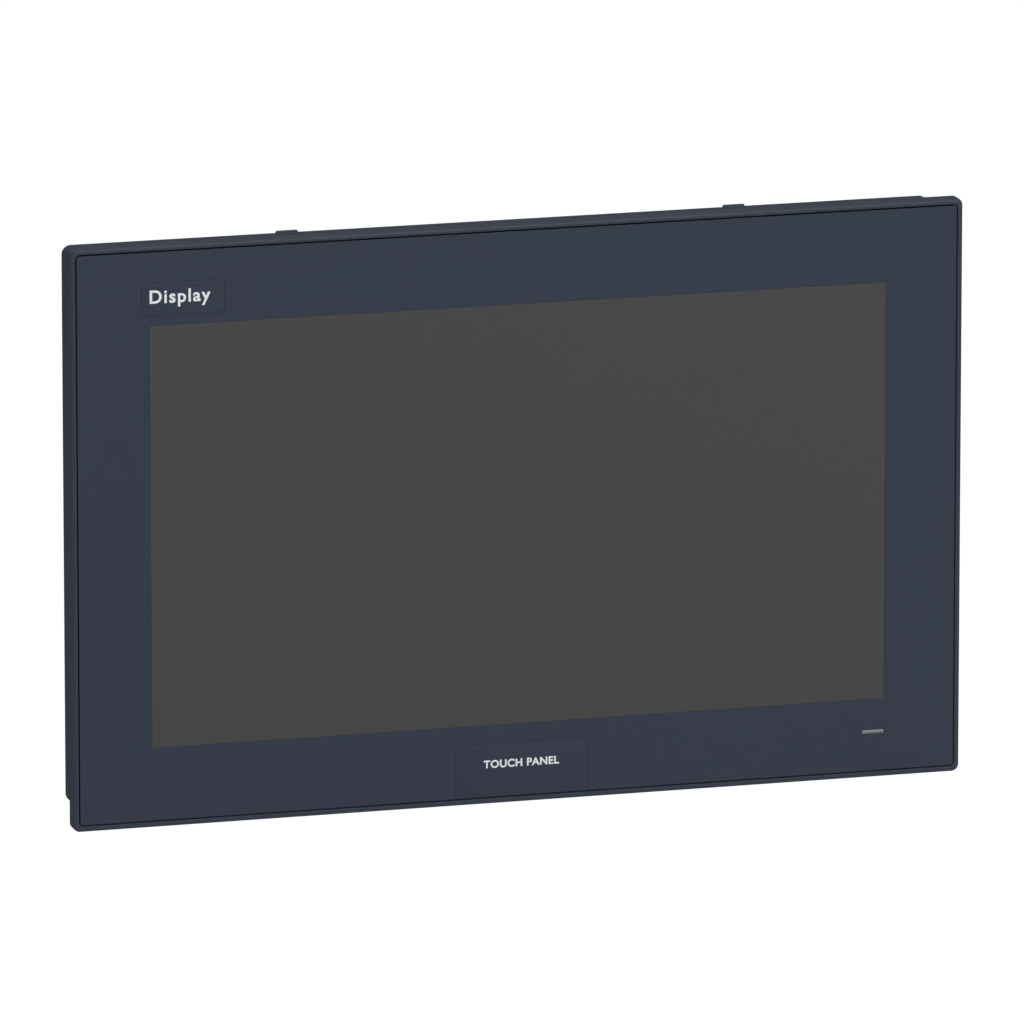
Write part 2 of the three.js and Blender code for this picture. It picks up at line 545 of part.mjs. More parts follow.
// A catch slopes on one side above the housing's top wall, and its foot is too wide for the slot.
function catchBody(x) {
  const wall = SKIRT.height / 2;
  const base = CATCH.width / 2;
  const foot = base + CATCH.flare;
  const s = new THREE.Shape();
  s.moveTo(-foot, CATCH.foot);
  s.lineTo(foot, CATCH.foot);
  s.lineTo(foot, CATCH.shoulder);
  s.lineTo(base, CATCH.shoulder);
  s.lineTo(base, wall);
  s.lineTo(base - CATCH.draft, wall + CATCH.proud);
  s.lineTo(CATCH.lead - base, wall + CATCH.proud);
  s.lineTo(-base, wall);
  s.lineTo(-base, CATCH.shoulder);
  s.lineTo(-foot, CATCH.shoulder);
  return slab(s, CATCH.y0, CATCH.y1).translate(x, 0, 0);
}

// A helix with its axis along Z between two heights.
class Helix extends THREE.Curve {
  constructor(radius, z0, z1, turns) {
    super();
    Object.assign(this, { radius, z0, z1, turns });
  }

  getPoint(t, target = new THREE.Vector3()) {
    const a = t * this.turns * Math.PI * 2;
    const z = this.z0 + (this.z1 - this.z0) * t;
    return target.set(this.radius * Math.cos(a), this.radius * Math.sin(a), z);
  }
}

function wireSpring() {
  const { radius, wire, turns, steps, end } = CATCH_SPRING;
  const section = new THREE.Shape();
  section.absarc(0, 0, wire, 0, Math.PI * 2, false);
  const path = new Helix(radius, CATCH_NOTCH.floor + end, CATCH.foot - end, turns);
  return new THREE.ExtrudeGeometry(section, {
    steps, bevelEnabled: false, curveSegments: 3, extrudePath: path,
  });
}

function catches() {
  const names = ['left', 'right'];
  return CATCH.xs.flatMap((x, i) => {
    const spring = piece(`catch_spring_${names[i]}`, wireSpring(), 'spring');
    spring.position.set(x, (CATCH.y0 + CATCH.y1) / 2, 0);
    return [piece(`catch_${names[i]}`, catchBody(x), 'slate'), spring];
  });
}

// Electronics
function mainBoard() {
  const { x0, x1, z0, z1, y, corner } = BOARD;
  const sheet = plate(x1 - x0, z1 - z0, corner, y, BOARD_TOP, (x0 + x1) / 2, (z0 + z1) / 2);
  const chips = BOARD_CHIPS.map((c) => chip(c, BOARD_TOP));
  const capacitors = CAPACITOR.xs.map((x) => rod(CAPACITOR.radius,
    BOARD_TOP - GAP, BOARD_TOP + CAPACITOR.tall, x, CAPACITOR.z));
  const holes = boardScrewPlaces().map(([x, z]) => rod(STANDOFF.clear,
    y - OVER, BOARD_TOP + OVER, x, z, 8));
  return piece('main_board', combine([sheet, ...chips, ...capacitors], holes), 'board');
}

// An opening in a port's face: width in X, y0 to y1 up from the board, deep inwards.
function mouth({ width, y0, y1, deep }, x = 0) {
  return box(x - width / 2, x + width / 2, y0, y1, PORT_FACE - OVER, PORT_FACE + deep);
}

// A bar inside a mouth, set back from the face and rooted in the block behind the mouth.
function tongue({ width, y0, y1, inset }, deep, x = 0) {
  return box(x - width / 2, x + width / 2, y0, y1, PORT_FACE + inset, PORT_FACE + deep + OVER / 2);
}

// A port on the board: its block, less the mouths that open downwards, plus what stands in them.
function port(name, spec, mouths, inside, finish) {
  const bulk = box(-spec.width / 2, spec.width / 2, 0, spec.height, PORT_FACE, PORT_FACE + spec.depth);
  let body = solid(bulk);
  for (const m of mouths) body = body.subtract(solid(m));
  for (const t of inside) body = body.add(solid(t));
  const mesh = piece(name, geometryOf(body), finish);
  mesh.position.set(spec.x, PORT_FLOOR, 0);
  return mesh;
}

function serialPins() {
  const { radius, pitch, rows, ys, inset, deep } = SERIAL_PIN;
  return rows.flatMap((count, row) => Array.from({ length: count }, (_, i) => post(radius,
    PORT_FACE + inset, PORT_FACE + deep, (i - (count - 1) / 2) * pitch, ys[row], 6)));
}

function ports() {
  const twins = [-TWIN_OFFSET, TWIN_OFFSET];
  const lanMouths = twins.flatMap((x) => [mouth(LAN_MOUTH, x), mouth(LAN_NOTCH, x)]);
  const usbMouths = twins.map((x) => mouth(USB_MOUTH, x));
  const usbTongues = twins.map((x) => tongue(USB_TONGUE, USB_MOUTH.deep, x));
  const powerPins = [-1, 0, 1].map((i) => box(i * POWER_PIN.pitch - POWER_PIN.width / 2,
    i * POWER_PIN.pitch + POWER_PIN.width / 2, POWER_PIN.y0, POWER_PIN.y1,
    PORT_FACE - POWER_PIN.inset, PORT_FACE + POWER_PIN.deep));
  const { serial } = PORTS;
  const ears = [-1, 1].map((side) => block(side * (SERIAL_EAR.x + serial.width) / 2, PORT_FACE,
    serial.width - SERIAL_EAR.x, 2 * SERIAL_EAR.deep, -OVER, serial.height + OVER));
  const videoTongue = tongue(VIDEO_TONGUE, VIDEO_MOUTH.deep);
  return [
    port('power_header', PORTS.power, [mouth(POWER_MOUTH)], powerPins, 'terminal'),
    port('lan_ports', PORTS.lan, lanMouths, [], 'steel'),
    port('usb_ports', PORTS.usb, usbMouths, usbTongues, 'steel'),
    port('serial_port', serial, [...ears, mouth(SERIAL_MOUTH)], serialPins(), 'steel'),
    port('video_port', PORTS.video, [mouth(VIDEO_MOUTH)], [videoTongue], 'plastic'),
  ];
}

function ioPlate() {
  const { x0, x1, y0, y1, z0, thick } = IO_PLATE;
  const windows = Object.values(PORTS).map((s) => box(s.x - s.width / 2 - FIT, s.x + s.width / 2 + FIT,
    PORT_FLOOR - FIT, PORT_FLOOR + s.height + FIT, z0 - OVER, z0 + thick + OVER));
  const y = BOARD_TOP + BUTTONS.lift;
  const holes = [BUTTONS.power, BUTTONS.reset].map((x) => post(BUTTONS.cap + FIT,
    z0 - OVER, z0 + thick + OVER, x, y, ROUND));
  return piece('io_plate', combine([box(x0, x1, y0, y1, z0, z0 + thick)], [...windows, ...holes]), 'steel');
}

// A push button: the switch body on the board, with the cap that slides in its guide.
function pushButton(name, x) {
  const top = IO_PLATE.z0 + IO_PLATE.thick;
  const y = BOARD_TOP + BUTTONS.lift;
  const { half, tall, z0, z1, bore, boreDeep } = SWITCH;
  const body = combine([box(x - half, x + half, PORT_FLOOR, PORT_FLOOR + tall, top + z0, top + z1)],
    [post(bore, top, top + boreDeep, x, y)]);
  const collar = top + FIT;
  const cap = combine([
    post(BUTTONS.cap, PORT_FACE, collar + GAP, x, y, ROUND),
    post(BUTTON_COLLAR.radius, collar, collar + BUTTON_COLLAR.thick, x, y, ROUND),
    post(BUTTON_STEM.radius, top, top + BUTTON_STEM.long, x, y),
  ]);
  return [piece(`${name}_switch`, body, 'plastic'), piece(`${name}_button`, cap, 'button')];
}

function processorStack() {
  const y = PORT_FLOOR;
  const cpu = block(CPU.x, CPU.z, CPU.size, CPU.size, y, y + CPU.tall);
  const spreader = plate(SPREADER.size, SPREADER.size, SPREADER.corner, y + CPU.tall + GAP, SINK.y - GAP,
    CPU.x, CPU.z);
  return [piece('processor', cpu, 'chip'), piece('heat_spreader', spreader, 'aluminium')];
}

// A socket open towards +Z, with an arm along each side of what is pushed into it.
function cradle({ x, half, arm, z0, z1, armTip, tall, slot }) {
  const y = PORT_FLOOR;
  return combine([
    box(x - half, x + half, y, y + tall, z0, z1),
    box(x - half, x - half + arm, y, y + tall, z1 - OVER, armTip),
    box(x + half - arm, x + half, y, y + tall, z1 - OVER, armTip),
  ], [box(x - slot.half, x + slot.half, y + slot.y0, y + slot.y1, slot.z0, slot.z1)]);
}

function memoryParts() {
  const { x } = MEMORY_SOCKET;
  const { half, z0, z1, thick } = MEMORY;
  const y = PORT_FLOOR + MEMORY.y;
  const { xs, z, width, height, tall } = MEMORY_CHIP;
  const chips = xs.map((dx) => block(x + dx, z, width, height, y + thick - GAP, y + thick + tall));
  const module = combine([box(x - half, x + half, y, y + thick, z0, z1), ...chips]);
  return [piece('memory_socket', cradle(MEMORY_SOCKET), 'plastic'),
    piece('memory_module', module, 'board')];
}

function coinCell() {
  const { x, z, radius, thick } = COIN;
  const { outer, inner, floor, tall } = COIN_CUP;
  const y = PORT_FLOOR;
  const lug = box(x - COIN_LUG.half, x + COIN_LUG.half, y, y + COIN_LUG.tall, COIN_LUG.z0, COIN_LUG.z1);
  const cup = combine([rod(outer, y, y + tall, x, z, ROUND), lug],
    [rod(inner, y + floor, y + tall + OVER, x, z, ROUND)]);
  const cell = rod(radius, y + COIN.y, y + COIN.y + thick, x, z, ROUND);
  return [piece('coin_cell_holder', cup, 'plastic'), piece('coin_cell', cell, 'steel')];
}

function storageCard() {
  const { x } = CARD_SOCKET;
  const { half, thick, z0, z1 } = CARD;
  const y = PORT_FLOOR + CARD.y;
  const grip = box(x - CARD_GRIP.half, x + CARD_GRIP.half, y + thick - CARD_GRIP.deep, y + thick + OVER,
    CARD_GRIP.z0, CARD_GRIP.z1);
  const card = combine([box(x - half, x + half, y, y + thick, z0, z1)], [grip]);
  return [piece('card_socket', cradle(CARD_SOCKET), 'plastic'), piece('storage_card', card, 'plastic')];
}

function chassisGroup() {
  return groupOf(housingFrame(), chassisPlate(), ...catches(), mainBoard(), ioPlate(), ...ports(),
    ...pushButton('power', BUTTONS.power), ...pushButton('reset', BUTTONS.reset),
    ...processorStack(), ...memoryParts(), ...coinCell(), ...storageCard());
}

// Rear
function ventCuts() {
  const { height, wall, rear, front } = COVER;
  const { perSide, pitch, width, z0, z1, margin } = VENT;
  const cuts = [];
  for (let i = -perSide; i <= perSide; i += 1) {
    for (const side of [-1, 1]) {
      cuts.push(block(i * pitch, side * (z0 + z1) / 2, width, z1 - z0, rear - wall - OVER, rear + OVER));
    }
    cuts.push(block(i * pitch, height / 2, width, 2 * (wall + OVER), front + margin, rear - margin));
  }
  return cuts;
}

function coverOpenings() {
  const { height, wall, rear, front } = COVER;
  const [under, past] = [rear - wall - OVER, rear + OVER];
  const bay = box(IO_PLATE.x0 + CONNECTOR_BAY.left, IO_PLATE.x1 - CONNECTOR_BAY.right,
    front + CONNECTOR_BAY.front, IO_PLATE.y1 - CONNECTOR_BAY.rear,
    -height / 2 - OVER, -height / 2 + wall + GAP);
  const spreaderHole = SPREADER.size + 2 * SPREADER.clear;
  return [
    bay,
    plate(spreaderHole, spreaderHole, SPREADER.corner, under, past, CPU.x, CPU.z),
    plate(BAY.x1 - BAY.x0, BAY.z1 - BAY.z0, BAY.corner, under, past,
      (BAY.x0 + BAY.x1) / 2, (BAY.z0 + BAY.z1) / 2),
    post(GROUND.clear, -height / 2 - OVER, -height / 2 + wall + OVER, GROUND.x, GROUND.y),
  ];
}

function sinkScrewPlaces() {
  const { x, z } = SINK_SCREW;
  return [-x, x].flatMap((sx) => [SINK.z - z, SINK.z + z].map((sz) => [sx, sz]));
}

function rearCover() {
  const { width, height, wall, front, rear, corner } = COVER;
  const { flangeWidth, flangeHeight, flangeCorner, flangeThick } = COVER;
  const shell = plate(width, height, corner, front, rear);
  const inside = plate(width - 2 * wall, height - 2 * wall, corner - OVER, front - OVER, rear - wall);
  const hollow = geometryOf(solid(shell).subtract(solid(inside)));
  const flange = ring([flangeWidth, flangeHeight, flangeCorner],
    [width - OVER, height - OVER, flangeCorner], front, front + flangeThick);
  const { x, y, barrel, bore, middle, half, web } = HINGE;
  const knuckle = combine([post(barrel, -middle, middle, x, y, ROUND),
    block(x, 0, web, 2 * middle, rear - wall / 2, y)], [post(bore, -half, half, x, y, ROUND)]);
  const cuts = [...coverOpenings(), ...ventCuts()];
  for (const [sx, sz] of coverScrewPlaces()) {
    cuts.push(rod(COVER_SCREW.clear, front - OVER, front + flangeThick + OVER, sx, sz));
  }
  for (const [sx, sz] of sinkScrewPlaces()) {
    cuts.push(rod(SINK_SCREW.hole, rear - wall - OVER, rear + OVER, sx, sz, 10));
  }
  return piece('rear_cover', combine([hollow, flange, knuckle], cuts), 'zinc');
}

// A comb outline in XY: a flat base with evenly spaced fins, carried up along Z.
function heatSink() {
  const { width, height, base, y, fins, fin, z } = SINK;
  const s = new THREE.Shape();
  const half = width / 2;
  const step = (width - fin) / (fins - 1);
  s.moveTo(-half, y);
  s.lineTo(half, y);
  for (let i = fins - 1; i >= 0; i -= 1) {
    const x = -half + i * step;
    s.lineTo(x + fin, DEPTH_BEHIND_DOOR);
    s.lineTo(x, DEPTH_BEHIND_DOOR);
    if (i > 0) {
      s.lineTo(x, y + base);
      s.lineTo(x - step + fin, y + base);
    }
  }
  const g = new THREE.ExtrudeGeometry(s, { depth: height, bevelEnabled: false });
  g.translate(0, 0, z - height / 2);
  return piece('heat_sink', g, 'aluminium');
}

function accessDoor() {
  const { thick, side, top, corner } = DOOR;
  const y = DOOR_FACE;
  const { barrel, bore, middle, half, leafEnd } = HINGE;
  const left = BAY.x0 - side;
  const right = HINGE.x - barrel - FIT;
  const leaf = plate(right - left, 2 * (BAY.z1 + top), corner, y, y + thick, (right + left) / 2, 0);
  const knuckles = [];
  for (const end of [-1, 1]) {
    const [a, b] = [end * (middle + FIT), end * leafEnd].sort((p, q) => p - q);
    knuckles.push(post(barrel, a, b, HINGE.x, HINGE.y, ROUND));
    knuckles.push(box(right - OVER, HINGE.x, y, y + thick, a, b));
  }
  const cuts = [
    post(bore, -half - OVER, half + OVER, HINGE.x, HINGE.y, ROUND),
    rod(LATCH.stem + FIT, y - OVER, y + thick + OVER, LATCH_X, LATCH.z, ROUND),
    plate(GRIP.width, GRIP.height, GRIP.corner, y + thick - GRIP.deep, y + thick + OVER, GRIP.x, GRIP.z),
  ];
  return piece('access_door', combine([leaf, ...knuckles], cuts), 'zinc');
}

function hingePin() {
  const shaft = post(HINGE_PIN.radius, -HINGE.half, HINGE.half, 0, 0, ROUND);
  const cap = post(HINGE_PIN.head, ...HINGE_PIN.headZ, 0, 0, ROUND);
  const mesh = piece('door_hinge_pin', combine([shaft, cap]), 'steel');
  mesh.position.set(HINGE.x, HINGE.y, 0);
  return mesh;
}

// Quarter-turn latch: a knob outside the door and a tongue behind it, joined by a stem.
function doorLatch() {
  const knobY = DOOR_FACE + DOOR.thick + FIT;
  const knobTop = knobY + LATCH.knobThick;
  const [coinLong, coinWide, coinDeep] = LATCH.coin;
  const knob = combine([rod(LATCH.knob, knobY, knobTop, 0, 0, ROUND)],
    [block(0, 0, coinLong, coinWide, knobTop - coinDeep, knobTop + OVER)]);
  const { long, width, corner, thick, clear } = LATCH_TONGUE;
  const back = COVER.rear - COVER.wall - clear;
  const arm = plate(width, long, corner, back - thick, back, 0, (width - long) / 2);
  const stem = rod(LATCH.stem, back - thick / 2, knobY + OVER, 0, 0, ROUND);
  const mesh = piece('door_latch', combine([knob, stem, arm]), 'steel');
  mesh.position.set(LATCH_X, 0, LATCH.z);
  return mesh;
}

function groundStud() {
  const bottom = -COVER.height / 2;
  const { radius, long, inside, washer } = GROUND;
  const nutTop = bottom - GROUND_NUT.gap;
  const hexagon = post(GROUND_NUT.radius, nutTop - GROUND_NUT.thick, nutTop, 0, 0, 6);
  const stud = post(radius, bottom - long, bottom + inside, 0, 0);
  const disc = post(washer, bottom + COVER.wall + 2 * GAP, bottom + 2 * COVER.wall, 0, 0, ROUND);
  const mesh = piece('ground_stud', combine([stud, hexagon, disc]), 'brass');
  mesh.position.set(GROUND.x, GROUND.y, 0);
  return mesh;
}

// A pan-head screw turned from its half outline: a plain shank and a domed head.
function coverScrews() {
  const points = SCREW.profile.map(([r, h]) => new THREE.Vector2(r, h));
  return coverScrewPlaces().map(([x, z], i) => {
    const mesh = piece(`cover_screw_${i + 1}`, new THREE.LatheGeometry(points, SCREW.sides), 'steel');
    mesh.position.set(x, COVER.front + COVER.flangeThick + GAP, z);
    return mesh;
  });
}

function ratingLabel() {
  const { width, height, corner, x, z, thick } = LABEL;
  const y = COVER.rear + GAP / 2;
  return piece('rating_label', plate(width, height, corner, y, y + thick, x, z), 'paper');
}

function rearGroup() {
  return groupOf(rearCover(), heatSink(), accessDoor(), hingePin(), doorLatch(), groundStud(),
    ratingLabel(), ...coverScrews());
}

export default groupOf(frontGroup(), displayGroup(), chassisGroup(), rearGroup());
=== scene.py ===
import json
import math
import bpy
import bmesh
import numpy as np
from mathutils import Matrix, Vector


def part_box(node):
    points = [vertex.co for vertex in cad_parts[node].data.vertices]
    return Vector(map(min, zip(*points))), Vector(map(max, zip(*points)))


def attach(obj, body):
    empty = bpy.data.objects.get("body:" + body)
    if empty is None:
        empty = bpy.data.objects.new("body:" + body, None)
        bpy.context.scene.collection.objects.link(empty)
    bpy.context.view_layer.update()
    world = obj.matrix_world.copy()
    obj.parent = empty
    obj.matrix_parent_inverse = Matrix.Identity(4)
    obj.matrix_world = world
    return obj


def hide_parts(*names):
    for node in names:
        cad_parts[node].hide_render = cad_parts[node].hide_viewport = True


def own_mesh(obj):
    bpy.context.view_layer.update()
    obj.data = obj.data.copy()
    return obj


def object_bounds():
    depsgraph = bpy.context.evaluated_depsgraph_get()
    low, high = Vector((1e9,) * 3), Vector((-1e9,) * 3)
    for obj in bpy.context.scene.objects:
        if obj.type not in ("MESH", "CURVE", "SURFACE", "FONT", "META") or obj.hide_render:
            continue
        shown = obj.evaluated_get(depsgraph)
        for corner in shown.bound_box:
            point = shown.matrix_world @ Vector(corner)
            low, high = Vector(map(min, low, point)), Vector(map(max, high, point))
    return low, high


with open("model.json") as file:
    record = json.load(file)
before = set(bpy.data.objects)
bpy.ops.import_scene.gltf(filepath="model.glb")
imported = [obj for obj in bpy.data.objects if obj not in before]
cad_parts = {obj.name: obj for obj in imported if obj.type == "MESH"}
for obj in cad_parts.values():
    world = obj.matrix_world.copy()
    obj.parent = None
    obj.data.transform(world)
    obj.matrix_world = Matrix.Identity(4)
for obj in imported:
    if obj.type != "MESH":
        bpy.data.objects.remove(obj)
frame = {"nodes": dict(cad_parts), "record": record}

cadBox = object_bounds()
mm = 0.001


# where the parts lie, read from the frame
def spanOf(node):
    low, high = (np.array(corner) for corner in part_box(node))
    return {"low": low, "high": high, "mid": (low + high) / 2, "size": high - low}


bezelBox = spanOf("front_bezel")
sheetBox = spanOf("front_overlay")
windowBox = spanOf("display_window")
frontY = bezelBox["low"][1]


# Camera, light and floor
cameraValues = {"azimuth": -16.137, "elevation": 12.811, "distance": 6143.6 * mm, "lens": 476.84,
                "sensor": 36, "aim": (-4.03 * mm, 1.32 * mm), "clip": (0.1, 100)}


def makeCamera():
    v = cameraValues
    a, e = math.radians(v["azimuth"]), math.radians(v["elevation"])
    back = Vector((math.sin(a) * math.cos(e), -math.cos(a) * math.cos(e), math.sin(e)))
    data = bpy.data.cameras.new("viewCamera")
    data.lens, data.sensor_width = v["lens"], v["sensor"]
    data.clip_start, data.clip_end = v["clip"]
    camera = bpy.data.objects.new("viewCamera", data)
    x, z = v["aim"]
    camera.location = Vector((x, frontY, z)) + back * v["distance"]
    camera.rotation_mode = "QUATERNION"
    camera.rotation_quaternion = (-back).to_track_quat("-Z", "Y")
    bpy.context.scene.collection.objects.link(camera)
    bpy.context.scene.camera = camera


lightValues = {
    "backdrop": 1.03,
    "room": 0.42,
    "flag": {"from": 0.72, "to": 0.96, "shade": 0.10},
    "key": {"at": (0.62, -2.1, 1.75), "size": 0.9, "power": 34.0},
    "rear": {"at": (-0.9, 1.5, 2.4), "size": 1.4, "power": 12.0},
    "floor": {"drop": 0.55, "size": 60.0, "shade": 0.8, "rough": 0.9},
}


def makeLight(name):
    v = lightValues[name]
    data = bpy.data.lights.new(name + "Light", "AREA")
    data.shape, data.size, data.energy = "DISK", v["size"], v["power"]
    lamp = bpy.data.objects.new(name + "Light", data)
    lamp.location = v["at"]
    lamp.rotation_mode = "QUATERNION"
    lamp.rotation_quaternion = (-Vector(v["at"])).to_track_quat("-Z", "Y")
    bpy.context.scene.collection.objects.link(lamp)


def brightToEye(tree, dim, output):
    # looked at straight, the backdrop is the full white of an overexposed studio; what it lights sees it dim
    kind = "Emission" if output.bl_idname.endswith("Material") else "Background"
    bright = tree.nodes.new("ShaderNode" + kind)
    bright.inputs["Color"].default_value = (1, 1, 1, 1)
    bright.inputs["Strength"].default_value = lightValues["backdrop"]
    path, mixer = tree.nodes.new("ShaderNodeLightPath"), tree.nodes.new("ShaderNodeMixShader")
    tree.links.new(path.outputs["Is Camera Ray"], mixer.inputs[0])
    tree.links.new(dim.outputs[0], mixer.inputs[1])
    tree.links.new(bright.outputs[0], mixer.inputs[2])
    tree.links.new(mixer.outputs[0], output.inputs["Surface"])


def makeSky():
    # a dark flag stands straight behind the object, so that its side walls don't mirror the white room
    world = bpy.data.worlds.new("studioWorld")
    world.use_nodes = True
    tree, room, v = world.node_tree, lightValues["room"], lightValues["flag"]
    sky = tree.nodes["Background"]
    sky.inputs["Color"].default_value = (1, 1, 1, 1)
    direction, parts = tree.nodes.new("ShaderNodeTexCoord"), tree.nodes.new("ShaderNodeSeparateXYZ")
    dim = tree.nodes.new("ShaderNodeMapRange")
    dim.interpolation_type = "SMOOTHSTEP"
    limits = {"From Min": v["from"], "From Max": v["to"], "To Min": room, "To Max": room * v["shade"]}
    for key, value in limits.items():
        dim.inputs[key].default_value = value
    tree.links.new(direction.outputs["Generated"], parts.inputs[0])
    tree.links.new(parts.outputs["Y"], dim.inputs[0])
    tree.links.new(dim.outputs[0], sky.inputs["Strength"])
    brightToEye(tree, sky, tree.nodes["World Output"])
    bpy.context.scene.world = world


def makeFloor():
    v = lightValues["floor"]
    half, z = v["size"] / 2, cadBox[0][2] - v["drop"]
    mesh = bpy.data.meshes.new("studioFloor")
    corners = [(-half, -half, z), (half, -half, z), (half, half, z), (-half, half, z)]
    mesh.from_pydata(corners, [], [(0, 1, 2, 3)])
    floor = bpy.data.objects.new("studioFloor", mesh)
    paint = bpy.data.materials.new("paleFloor")
    paint.use_nodes = True
    shader = paint.node_tree.nodes["Principled BSDF"]
    shader.inputs["Base Color"].default_value = (v["shade"], v["shade"], v["shade"], 1)
    shader.inputs["Roughness"].default_value = v["rough"]
    brightToEye(paint.node_tree, shader, paint.node_tree.nodes["Material Output"])
    mesh.materials.append(paint)
    bpy.context.scene.collection.objects.link(floor)
    floor.visible_glossy = False


makeCamera()
makeLight("key")
makeLight("rear")
makeSky()
makeFloor()
bpy.context.scene.view_settings.view_transform = "Standard"
print("stage: camera, lights and floor are up")


# Shader writing
class Link:
    # wraps one output socket, so that shader maths reads as ordinary arithmetic
    def __init__(self, paint, socket):
        self.paint, self.socket = paint, socket

    def __add__(self, other):
        return self.paint.maths("ADD", self, other)

    def __sub__(self, other):
        return self.paint.maths("SUBTRACT", self, other)

    def __rsub__(self, other):
        return self.paint.maths("SUBTRACT", other, self)

    def __mul__(self, other):
        return self.paint.maths("MULTIPLY", self, other)

    def __truediv__(self, other):
        return self.paint.maths("DIVIDE", self, other)

    def __gt__(self, other):
        return self.paint.maths("GREATER_THAN", self, other)

    def __lt__(self, other):
        return self.paint.maths("LESS_THAN", self, other)

    __radd__ = __add__
    __rmul__ = __mul__


class Paint:
    # one procedural material: a Principled shader and the nodes that feed it
    def __init__(self, name):
        self.material = bpy.data.materials.new(name)
        self.material.use_nodes = True
        self.tree = self.material.node_tree
        self.shader = self.tree.nodes["Principled BSDF"]
        self.place = self.node("ShaderNodeTexCoord", {}, {}, "Object")

    def node(self, kind, settings, sockets, output=0):
        made = self.tree.nodes.new(kind)
        for key, value in settings.items():
            setattr(made, key, value)
        for key, value in sockets.items():
            self.feed(made.inputs[key], value)
        return Link(self, made.outputs[output])

    def maths(self, operation, first, second=0.0):
        return self.node("ShaderNodeMath", {"operation": operation}, {0: first, 1: second})

    def feed(self, target, value):
        if isinstance(value, Link):
            self.tree.links.new(value.socket, target)
        elif isinstance(value, tuple) and len(value) == 3 and target.type == "RGBA":
            target.default_value = (*value, 1)
        else:
            target.default_value = value

    def noise(self, scale, detail=2.0, stretch=(1, 1, 1)):
        where = self.node("ShaderNodeVectorMath", {"operation": "MULTIPLY"}, {0: self.place, 1: stretch})
        return self.node("ShaderNodeTexNoise", {}, {"Vector": where, "Scale": scale, "Detail": detail}, 0)

    def mix(self, factor, first, second):
        made = self.tree.nodes.new("ShaderNodeMix")
        made.data_type = "RGBA"
        for socket, value in zip((made.inputs[0], made.inputs[6], made.inputs[7]), (factor, first, second)):
            self.feed(socket, value)
        return Link(self, made.outputs[2])

    def axis(self, name):
        return self.node("ShaderNodeSeparateXYZ", {}, {0: self.place}, name)

    def ramp(self, value, low, high):
        # runs smoothly from 0 at low to 1 at high
        limits = {"Value": value, "From Min": low, "From Max": high}
        return self.node("ShaderNodeMapRange", {"interpolation_type": "SMOOTHSTEP"}, limits)

    def bump(self, height, strength, depth, edge=0.0):
        sockets = {"Height": height, "Strength": strength, "Distance": depth}
        if edge:
            sockets["Normal"] = self.node("ShaderNodeBevel", {"samples": 4}, {"Radius": edge}, "Normal")
        return self.node("ShaderNodeBump", {}, sockets, "Normal")

    def set(self, **values):
        names = {"color": "Base Color", "roughness": "Roughness", "metallic": "Metallic", "normal": "Normal",
                 "specular": "Specular IOR Level"}
        for key, value in values.items():
            self.feed(self.shader.inputs[names[key]], value)
        return self.material


def shade(color, factor):
    return tuple(c * factor for c in color)


grainWear = {"drift": 9.0, "driftDetail": 3.0, "driftRough": 0.05, "grainRough": 0.10, "specular": 0.35}
sheetWear = {"streakDetail": 3.0, "dark": 0.92, "light": 1.06, "streakRough": 0.10, "cloudRough": 0.06}


def moulded(name, values):
    # painted or moulded surface: fine grain in the bump, slow drift in colour and roughness
    paint, w, color = Paint(name), grainWear, values["color"]
    drift = paint.noise(w["drift"], w["driftDetail"])
    grain = paint.noise(values["grain"])
    mixed = paint.mix(drift, shade(color, 1 - values["vary"]), shade(color, 1 + values["vary"]))
    rough = values["rough"] + w["grainRough"] * (grain - 0.5) + w["driftRough"] * (drift - 0.5)
    normal = paint.bump(grain, values["bump"], values["depth"], values.get("edge", 0.0))
    specular = values.get("specular", w["specular"])
    return paint.set(color=mixed, roughness=rough, normal=normal, specular=specular)


def sheetMetal(name, values):
    # metal sheet: fine rolled streaks along one axis over a cloudy spangle
    paint, w, color = Paint(name), sheetWear, values["color"]
    streak = paint.noise(values["streak"], w["streakDetail"], values["along"])
    cloud = paint.noise(values["cloud"])
    mixed = paint.mix(cloud, shade(color, w["dark"]), shade(color, w["light"]))
    rough = values["rough"] + w["streakRough"] * (streak - 0.5) + w["cloudRough"] * (cloud - 0.5)
    normal = paint.bump(streak, values["bump"], values["depth"], values.get("edge", 0.0))
    return paint.set(color=mixed, roughness=rough, metallic=1.0, normal=normal)


